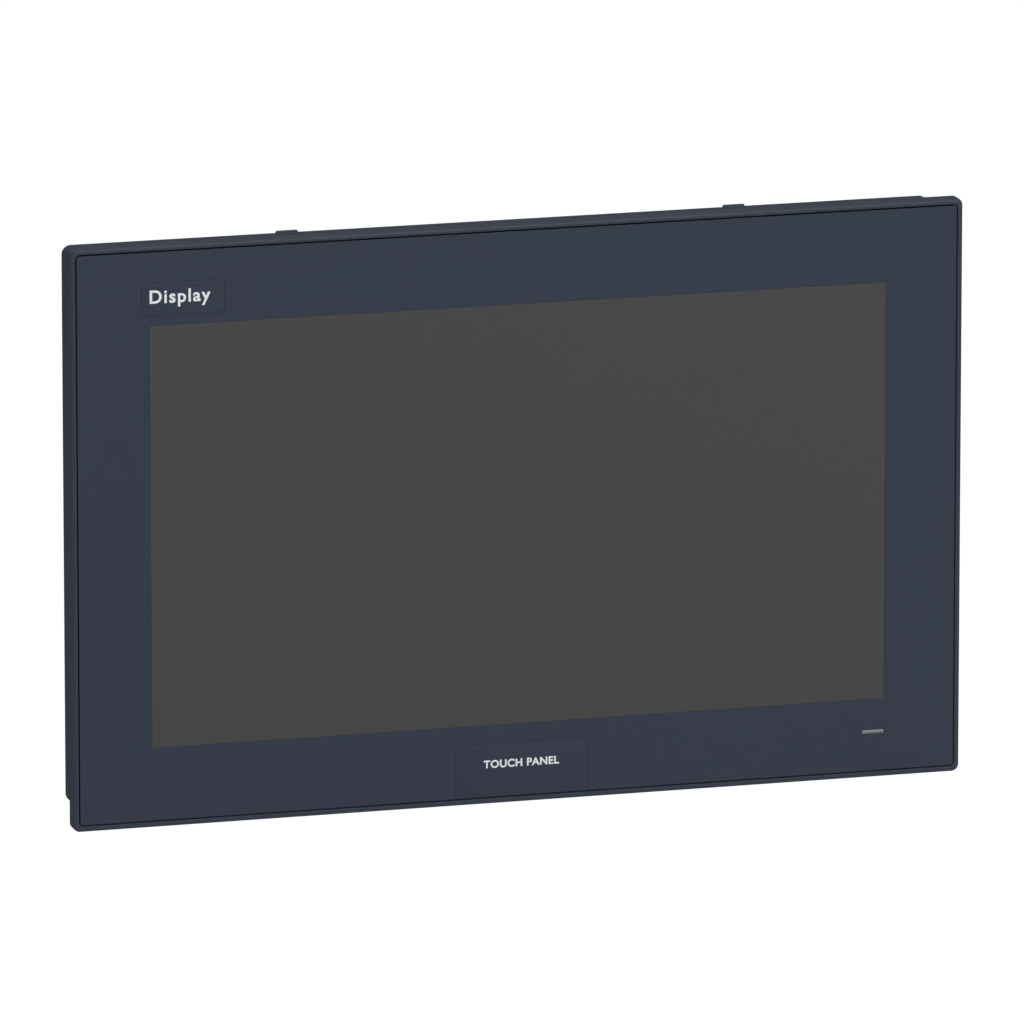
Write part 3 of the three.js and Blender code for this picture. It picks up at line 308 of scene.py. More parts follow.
finishes = {
    "slatePaint": {"color": (0.0408, 0.0512, 0.0755), "grain": 2600.0, "vary": 0.03, "rough": 0.50,
                   "bump": 0.25, "depth": 0.00004, "edge": 0.0004, "specular": 0.25},
    "printedFilm": {"color": (0.0425, 0.0532, 0.0785), "grain": 6500.0, "vary": 0.02, "rough": 0.60,
                    "bump": 0.20, "depth": 0.00001, "specular": 0.12},
    "windowFilm": {"color": (0.0750, 0.0750, 0.0750), "grain": 9000.0, "vary": 0.012, "rough": 0.50,
                   "bump": 0.12, "depth": 0.00001, "specular": 0.12},
    "whitePrint": {"color": (0.88, 0.89, 0.90), "grain": 5000.0, "vary": 0.02, "rough": 0.5,
                   "bump": 0.10, "depth": 0.00001, "specular": 0.2},
    "rubberFoam": {"color": (0.012, 0.012, 0.013), "grain": 1800.0, "vary": 0.15, "rough": 0.9,
                   "bump": 0.8, "depth": 0.00012, "specular": 0.15},
    "blackPlastic": {"color": (0.014, 0.015, 0.017), "grain": 3200.0, "vary": 0.08, "rough": 0.48,
                     "bump": 0.35, "depth": 0.00004, "edge": 0.0002},
    "greenPlastic": {"color": (0.020, 0.165, 0.060), "grain": 3000.0, "vary": 0.05, "rough": 0.45,
                     "bump": 0.30, "depth": 0.00004, "edge": 0.0002},
    "greyButton": {"color": (0.035, 0.038, 0.044), "grain": 3000.0, "vary": 0.05, "rough": 0.5,
                   "bump": 0.30, "depth": 0.00004, "edge": 0.0002},
    "chipBlack": {"color": (0.018, 0.018, 0.020), "grain": 4500.0, "vary": 0.10, "rough": 0.42,
                  "bump": 0.25, "depth": 0.00003, "edge": 0.0001},
    "greenLight": {"color": (0.10, 0.36, 0.13), "grain": 3000.0, "vary": 0.05, "rough": 0.25,
                   "bump": 0.1, "depth": 0.00001, "specular": 0.5},
    "darkGlass": {"color": (0.010, 0.012, 0.013), "grain": 60.0, "vary": 0.10, "rough": 0.08,
                  "bump": 0.02, "depth": 0.00001, "specular": 0.5},
    "frostedAcrylic": {"color": (0.70, 0.74, 0.74), "grain": 900.0, "vary": 0.04, "rough": 0.22,
                       "bump": 0.1, "depth": 0.00002, "specular": 0.5},
    "amberFlex": {"color": (0.40, 0.17, 0.030), "grain": 1200.0, "vary": 0.10, "rough": 0.30,
                  "bump": 0.2, "depth": 0.00002, "specular": 0.5},
    "cardSticker": {"color": (0.30, 0.34, 0.40), "grain": 2500.0, "vary": 0.04, "rough": 0.4,
                    "bump": 0.1, "depth": 0.00001},
}
finishes["inlay"] = finishes["printedFilm"]
# the two catches get a lighter copy of the slate paint: painted light, brightened to make up for the shade
# they sit in behind the bezel's rim
finishes["litCatchSlate"] = {**finishes["slatePaint"], "color": (0.073, 0.091, 0.133), "edge": 0.0001}
finishes["amberLight"] = {**finishes["greenLight"], "color": (0.55, 0.28, 0.04)}
metals = {
    # the catches wear the lighter slate copy, with light painted in against the shade behind the bezel
    "zincSheet": {"color": (0.66, 0.68, 0.69), "streak": 1500.0, "along": (1, 1, 0.06), "cloud": 260.0,
                  "rough": 0.52, "bump": 0.06, "depth": 0.00002, "edge": 0.0004},
    "steel": {"color": (0.60, 0.60, 0.58), "streak": 1400.0, "along": (0.08, 1, 1), "cloud": 150.0,
              "rough": 0.30, "bump": 0.12, "depth": 0.00001, "edge": 0.00015},
    "bareAluminium": {"color": (0.72, 0.73, 0.75), "streak": 1200.0, "along": (1, 1, 0.02), "cloud": 200.0,
                      "rough": 0.44, "bump": 0.15, "depth": 0.00003, "edge": 0.0002},
    "springWire": {"color": (0.62, 0.62, 0.62), "streak": 2000.0, "along": (1, 1, 1), "cloud": 300.0,
                   "rough": 0.22, "bump": 0.05, "depth": 0.00001},
    "brass": {"color": (0.62, 0.46, 0.17), "streak": 1500.0, "along": (1, 1, 0.1), "cloud": 200.0,
              "rough": 0.30, "bump": 0.10, "depth": 0.00001, "edge": 0.00015},
    "goldPlate": {"color": (0.80, 0.56, 0.20), "streak": 2500.0, "along": (1, 1, 1), "cloud": 400.0,
                  "rough": 0.22, "bump": 0.05, "depth": 0.00001},
}
materials = {name: moulded(name, values) for name, values in finishes.items()}
materials.update({name: sheetMetal(name, values) for name, values in metals.items()})
boardValues = {"tracks": 900.0, "trackShare": 0.34, "patches": 55.0, "upright": 0.56, "level": 0.45,
               "vias": 420.0, "viaSize": 0.10, "viaShow": 0.8, "rough": 0.34, "roughVary": 0.12, "bump": 0.4,
               "depth": 0.00004, "edge": 0.0002, "specular": 0.5, "mask": (0.010, 0.075, 0.030),
               "overCopper": (0.022, 0.130, 0.050), "via": (0.45, 0.40, 0.22)}


def boardMask():
    # solder mask: copper tracks run under the green lacquer on a fine square pitch, broken up by noise
    paint, v = Paint("boardMask"), boardValues
    x, z = paint.axis("X"), paint.axis("Z")
    patches = paint.noise(v["patches"], 1.0)
    acrossX = paint.maths("FRACT", x * v["tracks"]) < v["trackShare"]
    acrossZ = paint.maths("FRACT", z * v["tracks"]) < v["trackShare"]
    upright, level = patches > v["upright"], patches < v["level"]
    track = paint.maths("MAXIMUM", acrossX * upright, acrossZ * level)
    cells = paint.node("ShaderNodeTexVoronoi", {}, {"Vector": paint.place, "Scale": v["vias"]}, "Distance")
    via = cells < v["viaSize"]
    color = paint.mix(track, v["mask"], v["overCopper"])
    color = paint.mix(via * v["viaShow"], color, v["via"])
    normal = paint.bump(track, v["bump"], v["depth"], v["edge"])
    rough = v["rough"] + v["roughVary"] * (patches - 0.5)
    return paint.set(color=color, roughness=rough, normal=normal, specular=v["specular"])


materials["boardMask"] = boardMask()
print("stage: surface materials are mixed")


# Mesh making
# rounded edges and small steps that many pieces share, and how far a knife reaches past the face it cuts
hair, fine, slim, soft, broad, past = 0.02 * mm, 0.05 * mm, 0.1 * mm, 0.2 * mm, 0.3 * mm, 1 * mm
weldGap = 1e-7


def placed(u, v, w, axes):
    # hands three measures to the three axes named, one letter each
    u, v, w = np.broadcast_arrays(u, v, w)
    out = np.empty((*u.shape, 3))
    for letter, measure in zip(axes, (u, v, w)):
        out[..., "xyz".index(letter)] = measure
    return out


def fullTurn(count):
    return np.arange(count) * 2 * math.pi / count


def outlineNormals(outline):
    # at each point the two sides' outward normals are added and stretched to a mitre
    ahead = np.roll(outline, -1, 0) - outline
    ahead /= np.linalg.norm(ahead, axis=1)[:, None]
    after = np.stack([ahead[:, 1], -ahead[:, 0]], -1)
    before = np.roll(after, 1, 0)
    return (before + after) / (1 + (before * after).sum(1))[:, None]


def carry(name, outline, steps, axes="xzy"):
    # an anticlockwise outline carried through steps of (growth, level): it swells along its normals
    steps = np.array(steps)
    grid = outline[None] + outlineNormals(outline)[None] * steps[:, 0, None, None]
    points = placed(grid[..., 0], grid[..., 1], steps[:, 1, None], axes)
    return gridMesh(name, points)


def rimSteps(level, edge, inward, count=3):
    # a quarter circle of steps, from the flat of a face round to the side wall
    turn = np.linspace(0, math.pi / 2, count + 1)
    steps = np.stack([edge * (np.sin(turn) - 1), level + inward * edge * (1 - np.cos(turn))], -1)
    return steps.tolist()


def softSlab(name, outline, w0, w1, edge, axes="xzy"):
    # a plate of any outline, its two rims rounded
    return carry(name, outline, rimSteps(w0, edge, 1) + rimSteps(w1, edge, -1)[::-1], axes)


def rectOutline(halfWidth, halfHeight, corner, steps):
    # four quarter circles about the corner centres, joined by the straight sides, anticlockwise
    turn = np.arange(4)[:, None] * math.pi / 2 + np.linspace(0, math.pi / 2, steps + 1)
    x = np.array([1, -1, -1, 1])[:, None] * (halfWidth - corner) + corner * np.cos(turn)
    z = np.array([1, 1, -1, -1])[:, None] * (halfHeight - corner) + corner * np.sin(turn)
    return np.stack([x.ravel(), z.ravel()], -1)


def rect(width, height, corner, u=0.0, v=0.0, steps=4):
    return rectOutline(width / 2, height / 2, corner, steps) + (u, v)


def lathe(name, profile, centre, axes="xzy", count=40, flute=0.0, flutes=0):
    # a profile of (radius, level) turned about an axis; a flute ripples the radius by a cosine of the angle
    profile = np.array(profile)
    turn = fullTurn(count)
    radius = profile[:, 0, None] * (1 + flute * np.cos(flutes * turn)[None])
    u, v = centre[0] + radius * np.cos(turn), centre[1] + radius * np.sin(turn)
    return gridMesh(name, placed(u, v, profile[:, 1, None], axes))


def tube(name, path, radius, sides=6):
    # a circle carried along a path, square to it at each point, on a frame that turns as little as it can
    path = np.array(path, float)
    ahead = np.gradient(path, axis=0)
    ahead /= np.linalg.norm(ahead, axis=1)[:, None]
    side = np.cross(ahead, (0.31, 0.87, 0.38))
    side /= np.linalg.norm(side, axis=1)[:, None]
    up = np.cross(ahead, side)
    turn = fullTurn(sides)
    ring = side[:, None] * np.cos(turn)[None, :, None] + up[:, None] * np.sin(turn)[None, :, None]
    return gridMesh(name, path[:, None] + radius * ring)


def filletPath(corners, steps=4):
    # a closed outline whose corners (u, v, radius) become arcs tangent to both of their sides
    out = []
    for i, (u, v, radius) in enumerate(corners):
        here = np.array([u, v], float)
        if radius <= 0:
            out.append(here[None])
            continue
        toLast = np.array(corners[i - 1][:2], float) - here
        toNext = np.array(corners[(i + 1) % len(corners)][:2], float) - here
        toLast, toNext = toLast / np.linalg.norm(toLast), toNext / np.linalg.norm(toNext)
        half = math.acos(np.clip(toLast @ toNext, -1, 1)) / 2
        middle = (toLast + toNext) / np.linalg.norm(toLast + toNext)
        centre = here + middle * radius / math.sin(half)
        start = here + toLast * radius / math.tan(half) - centre
        end = here + toNext * radius / math.tan(half) - centre
        sweep = math.acos(np.clip(start @ end / radius ** 2, -1, 1))
        t = np.linspace(0, 1, steps + 1)[:, None]
        out.append(centre + (np.sin((1 - t) * sweep) * start + np.sin(t * sweep) * end) / math.sin(sweep))
    return np.concatenate(out)


def gridMesh(name, grid, wrapRows=False):
    # a surface given by rings of points; the two end rings are capped or joined
    rows, columns = grid.shape[:2]
    index = np.arange(rows * columns).reshape(rows, columns)
    low, high = (index, np.roll(index, -1, 0)) if wrapRows else (index[:-1], index[1:])
    quads = np.stack([low, np.roll(low, -1, 1), np.roll(high, -1, 1), high], -1)
    faces = quads.reshape(-1, 4).tolist()
    if not wrapRows:
        faces += [index[0][::-1].tolist(), index[-1].tolist()]
    mesh = bpy.data.meshes.new(name)
    mesh.from_pydata(grid.reshape(-1, 3).tolist(), [], faces)
    return mesh


def rectLoft(name, half, corner, profile, steps=12, closed=True, tightest=fine):
    # a profile of (offset, depth) carried round a rounded rectangle; the offset grows or shrinks it
    rows = []
    for offset, depth in profile:
        radius = max(corner + offset, tightest)
        xz = rectOutline(half[0] + offset, half[1] + offset, radius, steps)
        rows.append(np.column_stack([xz[:, 0], np.full(len(xz), depth), xz[:, 1]]))
    return gridMesh(name, np.array(rows), wrapRows=closed)


def weld(mesh):
    # joins points that meet and turns every face outwards
    work = bmesh.new()
    work.from_mesh(mesh)
    bmesh.ops.remove_doubles(work, verts=work.verts, dist=weldGap)
    bmesh.ops.recalc_face_normals(work, faces=work.faces)
    work.to_mesh(mesh)
    work.free()


def evaluated(item):
    graph = bpy.context.evaluated_depsgraph_get()
    graph.update()
    mesh = bpy.data.meshes.new_from_object(item.evaluated_get(graph))
    bpy.data.objects.remove(item)
    return mesh


def cutAway(mesh, cutters):
    # takes the cutters out of a closed mesh
    for solid in (mesh, *cutters):
        weld(solid)
    body = bpy.data.objects.new("cutBody", mesh)
    knives = [bpy.data.objects.new("knife", cutter) for cutter in cutters]
    for item in (body, *knives):
        bpy.context.scene.collection.objects.link(item)
    for knife in knives:
        cut = body.modifiers.new("cut", "BOOLEAN")
        cut.object, cut.solver, cut.operation = knife, "EXACT", "DIFFERENCE"
    result = evaluated(body)
    for knife in knives:
        bpy.data.objects.remove(knife)
    return result


def joinMeshes(name, meshes):
    joined = bmesh.new()
    for mesh in meshes:
        joined.from_mesh(mesh)
        bpy.data.meshes.remove(mesh)
    out = bpy.data.meshes.new(name)
    joined.to_mesh(out)
    joined.free()
    return out


def addPiece(mesh, name, material, slot, body="root", replaces=(), angle=32):
    # edges sharper than the angle stay crisp
    weld(mesh)
    mesh.polygons.foreach_set("use_smooth", np.ones(len(mesh.polygons), bool))
    mesh.set_sharp_from_angle(angle=math.radians(angle))
    mesh.materials.clear()
    mesh.materials.append(material)
    piece = bpy.data.objects.new(name, mesh)
    bpy.context.scene.collection.objects.link(piece)
    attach(piece, body)
    if replaces:
        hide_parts(*replaces)
    return piece


def addJoined(meshes, name, material, **how):
    # several meshes of one material as one piece
    addPiece(joinMeshes(name, meshes), name, materials[material], **how)


def flatShape(name, outlines, y0, y1, edge):
    # a filled flat curve with holes, given a thickness and a fine rounded edge, laid in the XZ plane
    curve = bpy.data.curves.new(name, "CURVE")
    curve.dimensions, curve.fill_mode = "2D", "BOTH"
    for points in outlines:
        spline = curve.splines.new("POLY")
        spline.points.add(len(points) - 1)
        flat = np.column_stack([points, np.zeros(len(points)), np.ones(len(points))])
        spline.points.foreach_set("co", flat.ravel())
        spline.use_cyclic_u = True
    curve.extrude = (y1 - y0) / 2 - edge
    curve.bevel_depth, curve.bevel_resolution = edge, 1
    curve.offset = -edge
    mesh = curveMesh(curve)
    mesh.transform(Matrix.Translation((0, (y0 + y1) / 2, 0)) @ Matrix.Rotation(math.pi / 2, 4, "X"))
    return mesh


def curveMesh(curve):
    holder = bpy.data.objects.new("curveHolder", curve)
    bpy.context.scene.collection.objects.link(holder)
    return evaluated(holder)


# Front frame
bezelValues = {"corner": 3.35 * mm, "outerEdge": 1.8 * mm, "rimEdge": 0.22 * mm, "groove": 0.7 * mm,
               "stepDeep": 1.1 * mm, "stepClear": 0.2 * mm, "recess": 4.2 * mm, "opening": 176 * mm,
               "gasketIn": 206.8 * mm, "gasketOut": 209.2 * mm, "gasketDeep": 1.4 * mm}


def makeBezel():
    v = bezelValues
    half = bezelBox["size"][[0, 2]] / 2
    face, seat = frontY, 0.0
    rim = sheetBox["high"][0] + v["groove"] - half[0]
    inner = v["opening"] - half[0]
    step = sheetBox["high"][0] + v["stepClear"] - half[0]
    gasketIn, gasketOut = v["gasketIn"] - half[0], v["gasketOut"] - half[0]
    gasketDeep, recess, stepDeep = seat - v["gasketDeep"], face + v["recess"], face + v["stepDeep"]
    corners = [(rim, face, v["rimEdge"]), (0, face, v["outerEdge"]), (0, seat, soft), (gasketOut, seat, 0),
               (gasketOut, gasketDeep, 0), (gasketIn, gasketDeep, 0), (gasketIn, seat, 0),
               (inner, seat, soft), (inner, recess, soft), (step, recess, 0), (step, stepDeep, slim),
               (rim, stepDeep, 0)]
    mesh = rectLoft("bezelRim", half, v["corner"], filletPath(corners, steps=6),
                    tightest=sheetValues["corner"] + v["groove"])
    addPiece(mesh, "bezel_rim", materials["slatePaint"], slot="slate", replaces=["front_bezel"])


sheetValues = {"spread": 0.1 * mm, "corner": 1.55 * mm, "edge": 0.12 * mm, "labelGap": 0.06 * mm,
               "labelSink": 0.06 * mm, "nameCorner": 2.2 * mm, "logoCorner": 4.5 * mm, "arc": 10,
               "tongueArc": 12, "windowGap": 0.02 * mm, "windowCorner": 0.4 * mm,
               "lensGap": 0.12 * mm, "smooth": 20}


def tongueOutline(box, grow, corner, foot):
    # a rectangle with two round upper corners, standing on the sheet's lower edge
    half = box["size"][0] / 2 + grow
    top = box["high"][2] + grow
    turn = np.linspace(0, math.pi / 2, sheetValues["tongueArc"] + 1)
    radius = corner + grow
    right = np.stack([half - radius + radius * np.cos(turn), top - radius + radius * np.sin(turn)], -1)
    left = right[::-1] * (-1, 1)
    flat = np.concatenate([[(half, foot)], right, left, [(-half, foot)]])
    return flat + (box["mid"][0], 0)


def boxOutline(box, grow, corner, steps=sheetValues["arc"]):
    # the outline of a box seen from the front, with round corners
    return rectOutline(*(box["size"][[0, 2]] / 2 + grow), corner, steps) + box["mid"][[0, 2]]


def makeSheet():
    v = sheetValues
    name, logo, lens = spanOf("name_label"), spanOf("logo_label"), spanOf("status_lens")
    half, gap = sheetBox["size"][[0, 2]] / 2 + v["spread"], v["labelGap"]
    outer = rectOutline(*half, v["corner"], v["arc"])
    window = rectOutline(*(windowBox["size"][[0, 2]] / 2 + v["windowGap"]), v["windowCorner"], steps=4)
    nameHole = boxOutline(name, gap, v["nameCorner"] + gap)
    lensHole = boxOutline(lens, v["lensGap"], lensValues["corner"], steps=4)
    slot = tongueOutline(logo, gap, v["logoCorner"], -half[1])
    # the sheet's outline walks along its lower edge and round the slot for the lower label
    lowerRight = outer[(outer[:, 1] < 0) & (outer[:, 0] > 0)]
    lowerLeft = outer[(outer[:, 1] < 0) & (outer[:, 0] < 0)]
    outline = np.concatenate([outer[outer[:, 1] > 0], lowerLeft, slot[::-1], lowerRight])
    holes = [window, nameHole, lensHole]
    mesh = flatShape("frontSheet", [outline, *holes], frontY, sheetBox["high"][1], v["edge"])
    addPiece(mesh, "front_sheet", materials["printedFilm"], slot="slate_film", replaces=["front_overlay"],
             angle=v["smooth"])


def makeWindow():
    back = windowBox["high"][1]
    profile = filletPath([(-past, frontY, 0), (0, frontY, fine), (0, back, 0), (-past, back, 0)], steps=3)
    mesh = rectLoft("windowPane", windowBox["size"][[0, 2]] / 2, sheetValues["windowCorner"], profile,
                    steps=4, closed=False)
    addPiece(mesh, "window_pane", materials["windowFilm"], slot="window", replaces=["display_window"])


def makeInlay(label, outline):
    mesh = flatShape(label + "Inlay", [outline], frontY + sheetValues["labelSink"],
                     spanOf("name_label")["high"][1], fine)
    addPiece(mesh, label + "_inlay", materials["inlay"], slot="label", replaces=[label + "_label"])


def makeInlays():
    v = sheetValues
    makeInlay("name", boxOutline(spanOf("name_label"), 0, v["nameCorner"]))
    makeInlay("logo", tongueOutline(spanOf("logo_label"), 0, v["logoCorner"], sheetBox["low"][2]))


wordValues = {
    "name": {"text": "Display", "capital": 6.5 * mm, "left": 3.3 * mm, "foot": 5.8 * mm, "bold": 0.19 * mm,
             "spacing": 1.15},
    "panel": {"text": "TOUCH PANEL", "capital": 3.9 * mm, "left": 13.2 * mm, "foot": 13.4 * mm,
              "bold": 0.15 * mm, "spacing": 1.08},
    "ink": 0.03 * mm,
    "capitalShare": 0.729,
}


def makeWord(name, label):
    # plain lettering: each outline is fattened by a round bevel, then the whole is pressed flat as ink
    v, ink, low = wordValues[name], wordValues["ink"], spanOf(label)["low"]
    curve = bpy.data.curves.new(name + "Word", "FONT")
    curve.body, curve.space_character, curve.resolution_u = v["text"], v["spacing"], 8
    curve.size = (v["capital"] - 2 * v["bold"]) / wordValues["capitalShare"]
    curve.bevel_depth, curve.bevel_resolution = v["bold"], 1
    mesh = curveMesh(curve)
    flatten = Matrix.Diagonal((1, 1, ink / (2 * v["bold"]), 1))
    depth = frontY + sheetValues["labelSink"] - ink / 2
    place = Matrix.Translation((low[0] + v["left"] + v["bold"], depth, low[2] + v["foot"] + v["bold"]))
    mesh.transform(place @ Matrix.Rotation(math.pi / 2, 4, "X") @ flatten)
    addPiece(mesh, name + "_word", materials["whitePrint"], slot="label")


# bright is a painted glow of the light pipe, laid on the lens's upper half; dim is the lower half's own
# smoked colour
lensValues = {"sink": 0.12 * mm, "edge": 0.18 * mm, "corner": 0.35 * mm, "bright": (0.27, 0.295, 0.285),
              "dim": (0.115, 0.125, 0.125), "ends": (0.24, 0.27, 0.345), "halves": (0.38, 0.62),
              "endRun": (0.82, 0.97), "endShow": 0.8, "grain": 3000.0, "bump": 0.1, "depth": 0.00001,
              "rough": 0.32, "roughMore": 0.05, "specular": 0.4}


def lensPlastic():
    # smoked lens: a glow of the light pipe through its upper half is painted into its colour, though no lamp
    # is there; the lower half and the two ends stay dark
    paint, v, span = Paint("lensPlastic"), lensValues, spanOf("status_lens")
    height = (paint.axis("Z") - float(span["low"][2])) / float(span["size"][2])
    along = paint.maths("ABSOLUTE", paint.axis("X") - float(span["mid"][0])) / float(span["size"][0] / 2)
    # upper: the share of the lens where the painted glow shows
    upper = paint.ramp(height, *v["halves"])
    end = paint.ramp(along, *v["endRun"])
    color = paint.mix(upper, v["dim"], v["bright"])
    color = paint.mix(end * v["endShow"], color, v["ends"])
    normal = paint.bump(paint.noise(v["grain"]), v["bump"], v["depth"])
    rough = v["rough"] + v["roughMore"] * upper
    return paint.set(color=color, roughness=rough, normal=normal, specular=v["specular"])


def makeLens():
    v, span = lensValues, spanOf("status_lens")
    outline = rect(span["size"][0], span["size"][2], v["corner"], *span["mid"][[0, 2]])
    mesh = softSlab("lensWindow", outline, frontY + v["sink"], span["high"][1], v["edge"])
    addPiece(mesh, "lens_window", lensPlastic(), slot="lens", replaces=["status_lens"])


gasketValues = {"domeSteps": 10, "dome": 0.9 * mm, "corner": 2.2 * mm}


def makeGasket():
    # foam cord of a D section: flat in its groove, an ellipse above
    v, span = gasketValues, spanOf("panel_gasket")
    width = (bezelValues["gasketOut"] - bezelValues["gasketIn"]) / 2 - slim
    centre = (bezelValues["gasketOut"] + bezelValues["gasketIn"]) / 2
    bottom, top = span["low"][1], span["high"][1]
    turn = np.linspace(0, math.pi, v["domeSteps"] + 1)
    dome = np.stack([width * np.cos(turn), top - v["dome"] + v["dome"] * np.sin(turn)], -1)
    profile = np.concatenate([[(-width, bottom), (width, bottom)], dome])
    half = span["size"][[0, 2]] / 2 - (span["high"][0] - centre)
    mesh = rectLoft("gasketCord", half, v["corner"], profile)
    addPiece(mesh, "gasket_cord", materials["rubberFoam"], slot="foam", replaces=["panel_gasket"])


makeBezel()
makeSheet()
makeWindow()
makeInlays()
makeWord("name", "name_label")
makeWord("panel", "logo_label")
makeLens()
makeGasket()
print("stage: front frame, sheet, window and gasket are made")


# Housing
springValues = {"coil": 0.9 * mm, "wire": 0.22 * mm, "turns": 6.0, "points": 260, "even": 0.35, "keep": 0.86}


def makeSpring(side):
    # a helix whose pitch closes up at both ends: its height is a line mixed with the s-curve 3t^2 - 2t^3
    v, span = springValues, spanOf("catch_spring_" + side)
    t = np.linspace(0, 1, v["points"])
    rise = v["even"] * t + (1 - v["even"]) * t * t * (3 - 2 * t)
    turn = 2 * math.pi * v["turns"] * t
    low, high = span["low"][2] + v["wire"], span["high"][2] - v["wire"]
    path = placed(span["mid"][0] + v["coil"] * np.cos(turn), span["mid"][1] + v["coil"] * np.sin(turn),
                  low + (high - low) * rise, "xyz")
    coil = addPiece(tube("springCoil", path, v["wire"], sides=10), "spring_coil_" + side,
                    materials["springWire"], slot="spring", replaces=["catch_spring_" + side])
    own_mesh(coil)


for side in ("left", "right"):
    makeSpring(side)
print("stage: catch springs are wound")


# Screws, studs and knobs
screwValues = {"lobe": 1.05 * mm, "lobes": 6, "lobeDepth": 0.14, "recess": 0.9 * mm,
               "floor": 0.02, "wall": 0.9,
               "brink": (0.97, 0.04 * mm), "rim": 1.02, "shank": 1.4 * mm, "thread": 0.16 * mm,
               "pitch": 0.7 * mm, "around": 72, "domeSteps": 8, "domeFrom": 0.25, "domeReach": 0.92,
               "under": 0.97, "seatDeep": 1.6 * mm}


def panScrew(centre, seat, tip, radius, height):
    # rings follow a six-lobed drive r = lobe (1 + depth cos 6a), widen to the round pan head, then run
    # down a shank whose radius ripples with the thread
    v = screwValues
    turn = fullTurn(v["around"])
    even = np.ones_like(turn)
    lobe = v["lobe"] * (1 + v["lobeDepth"] * np.cos(v["lobes"] * turn))
    top = seat + height
    floor, (brink, brinkDeep) = top - v["recess"], v["brink"]
    rows = [(v["floor"] * lobe, floor), (v["wall"] * lobe, floor), (brink * lobe, top - brinkDeep),
            (v["rim"] * lobe, top)]
    for t in np.linspace(v["domeFrom"], 1, v["domeSteps"]):
        dome = top - height * (1 - math.sqrt(max(1 - (v["domeReach"] * t) ** 4, 0)))
        rows.append((lobe + (radius - lobe) * t, dome))
    rows += [(radius * even, seat), (radius * v["under"] * even, seat)]
    for level in np.arange(seat - fine, tip + v["shank"], -v["pitch"] / 4):
        ripple = v["thread"] * (0.5 + 0.5 * math.cos(2 * math.pi * level / v["pitch"]))
        rows.append(((v["shank"] - ripple) * even, level))
    rows.append((broad * even, tip))
    radii = np.array([r for r, level in rows])
    levels = np.array([level for r, level in rows])[:, None]
    points = placed(centre[0] + radii * np.cos(turn), centre[1] + radii * np.sin(turn), levels, "xzy")
    return gridMesh("panScrew", points)


def makeFlangeScrews():
    seat = spanOf("rear_cover")["low"][1] + screwValues["seatDeep"]
    for i in range(1, 7):
        node = f"cover_screw_{i}"
        span = spanOf(node)
        mesh = panScrew(span["mid"][[0, 2]], seat, span["low"][1], span["size"][0] / 2,
                        span["high"][1] - seat)
        addPiece(mesh, f"flange_screw_{i}", materials["steel"], slot="steel", replaces=[node])


def hexagon(across, u, v):
    turn, radius = fullTurn(6), across / math.sqrt(3)
    return np.stack([u + radius * np.cos(turn), v + radius * np.sin(turn)], -1)


groundValues = {"nut": 7.4 * mm, "nutHigh": 3.0 * mm, "nutEdge": 0.3 * mm, "washer": 4.4 * mm,
                "tooth": 0.035, "teeth": 16, "washerHigh": 0.6 * mm, "stud": 1.95 * mm, "core": 1.3 * mm,
                "hole": 1.0 * mm,
                "pitch": 0.7 * mm, "thread": 0.22 * mm, "around": 40, "faceHigh": 8.3 * mm, "lead": 0.5 * mm}


def makeGroundStud():
    # threaded stud: the radius is a triangle wave of the height turned with the angle, so the thread climbs
    v, span = groundValues, spanOf("ground_stud")
    centre, bottom, top = span["mid"][:2], span["low"][2], span["high"][2]
    face = spanOf("rear_cover")["low"][2] + v["faceHigh"]
    levels = np.arange(bottom + v["lead"], top - broad, v["pitch"] / 8)
    turn = fullTurn(v["around"])
    phase = (levels[:, None] / v["pitch"] + turn[None] / (2 * math.pi)) % 1.0
    radius = v["stud"] - v["thread"] * np.abs(2 * phase - 1)
    core = np.full((1, len(turn)), v["core"])
    radius = np.concatenate([core, radius, core])
    levels = np.concatenate([[bottom], levels, [top]])[:, None]
    points = placed(centre[0] + radius * np.cos(turn), centre[1] + radius * np.sin(turn), levels, "xyz")
    stud = gridMesh("studThread", points)
    lower = face - v["washerHigh"]
    nut = softSlab("studNut", hexagon(v["nut"], *centre), face - v["nutHigh"] - v["washerHigh"], lower,
                   v["nutEdge"], "xyz")
    ring = [(v["hole"], lower - fine), (v["washer"], lower), (v["washer"], face - slim),
            (v["hole"], face - fine)]
    # the washer's toothed rim
    washer = lathe("studWasher", ring, centre, "xyz", count=96, flute=v["tooth"], flutes=v["teeth"])
    addJoined([stud, nut, washer], "stud_and_nut", "brass", slot="brass", replaces=["ground_stud"])


latchValues = {"knob": 3.95 * mm, "knobFoot": 0.9, "knobHigh": 2.4 * mm, "rim": 0.5 * mm,
               "rimMid": 0.15 * mm,
               "flute": 0.018, "flutes": 20, "slot": (6.0 * mm, 1.2 * mm, 0.5 * mm), "slotDeep": 1.0 * mm,
               "stem": 1.55 * mm,
               "tongueWide": 3.6 * mm, "tongueThick": 1.2 * mm, "tongueCorner": 1.4 * mm}


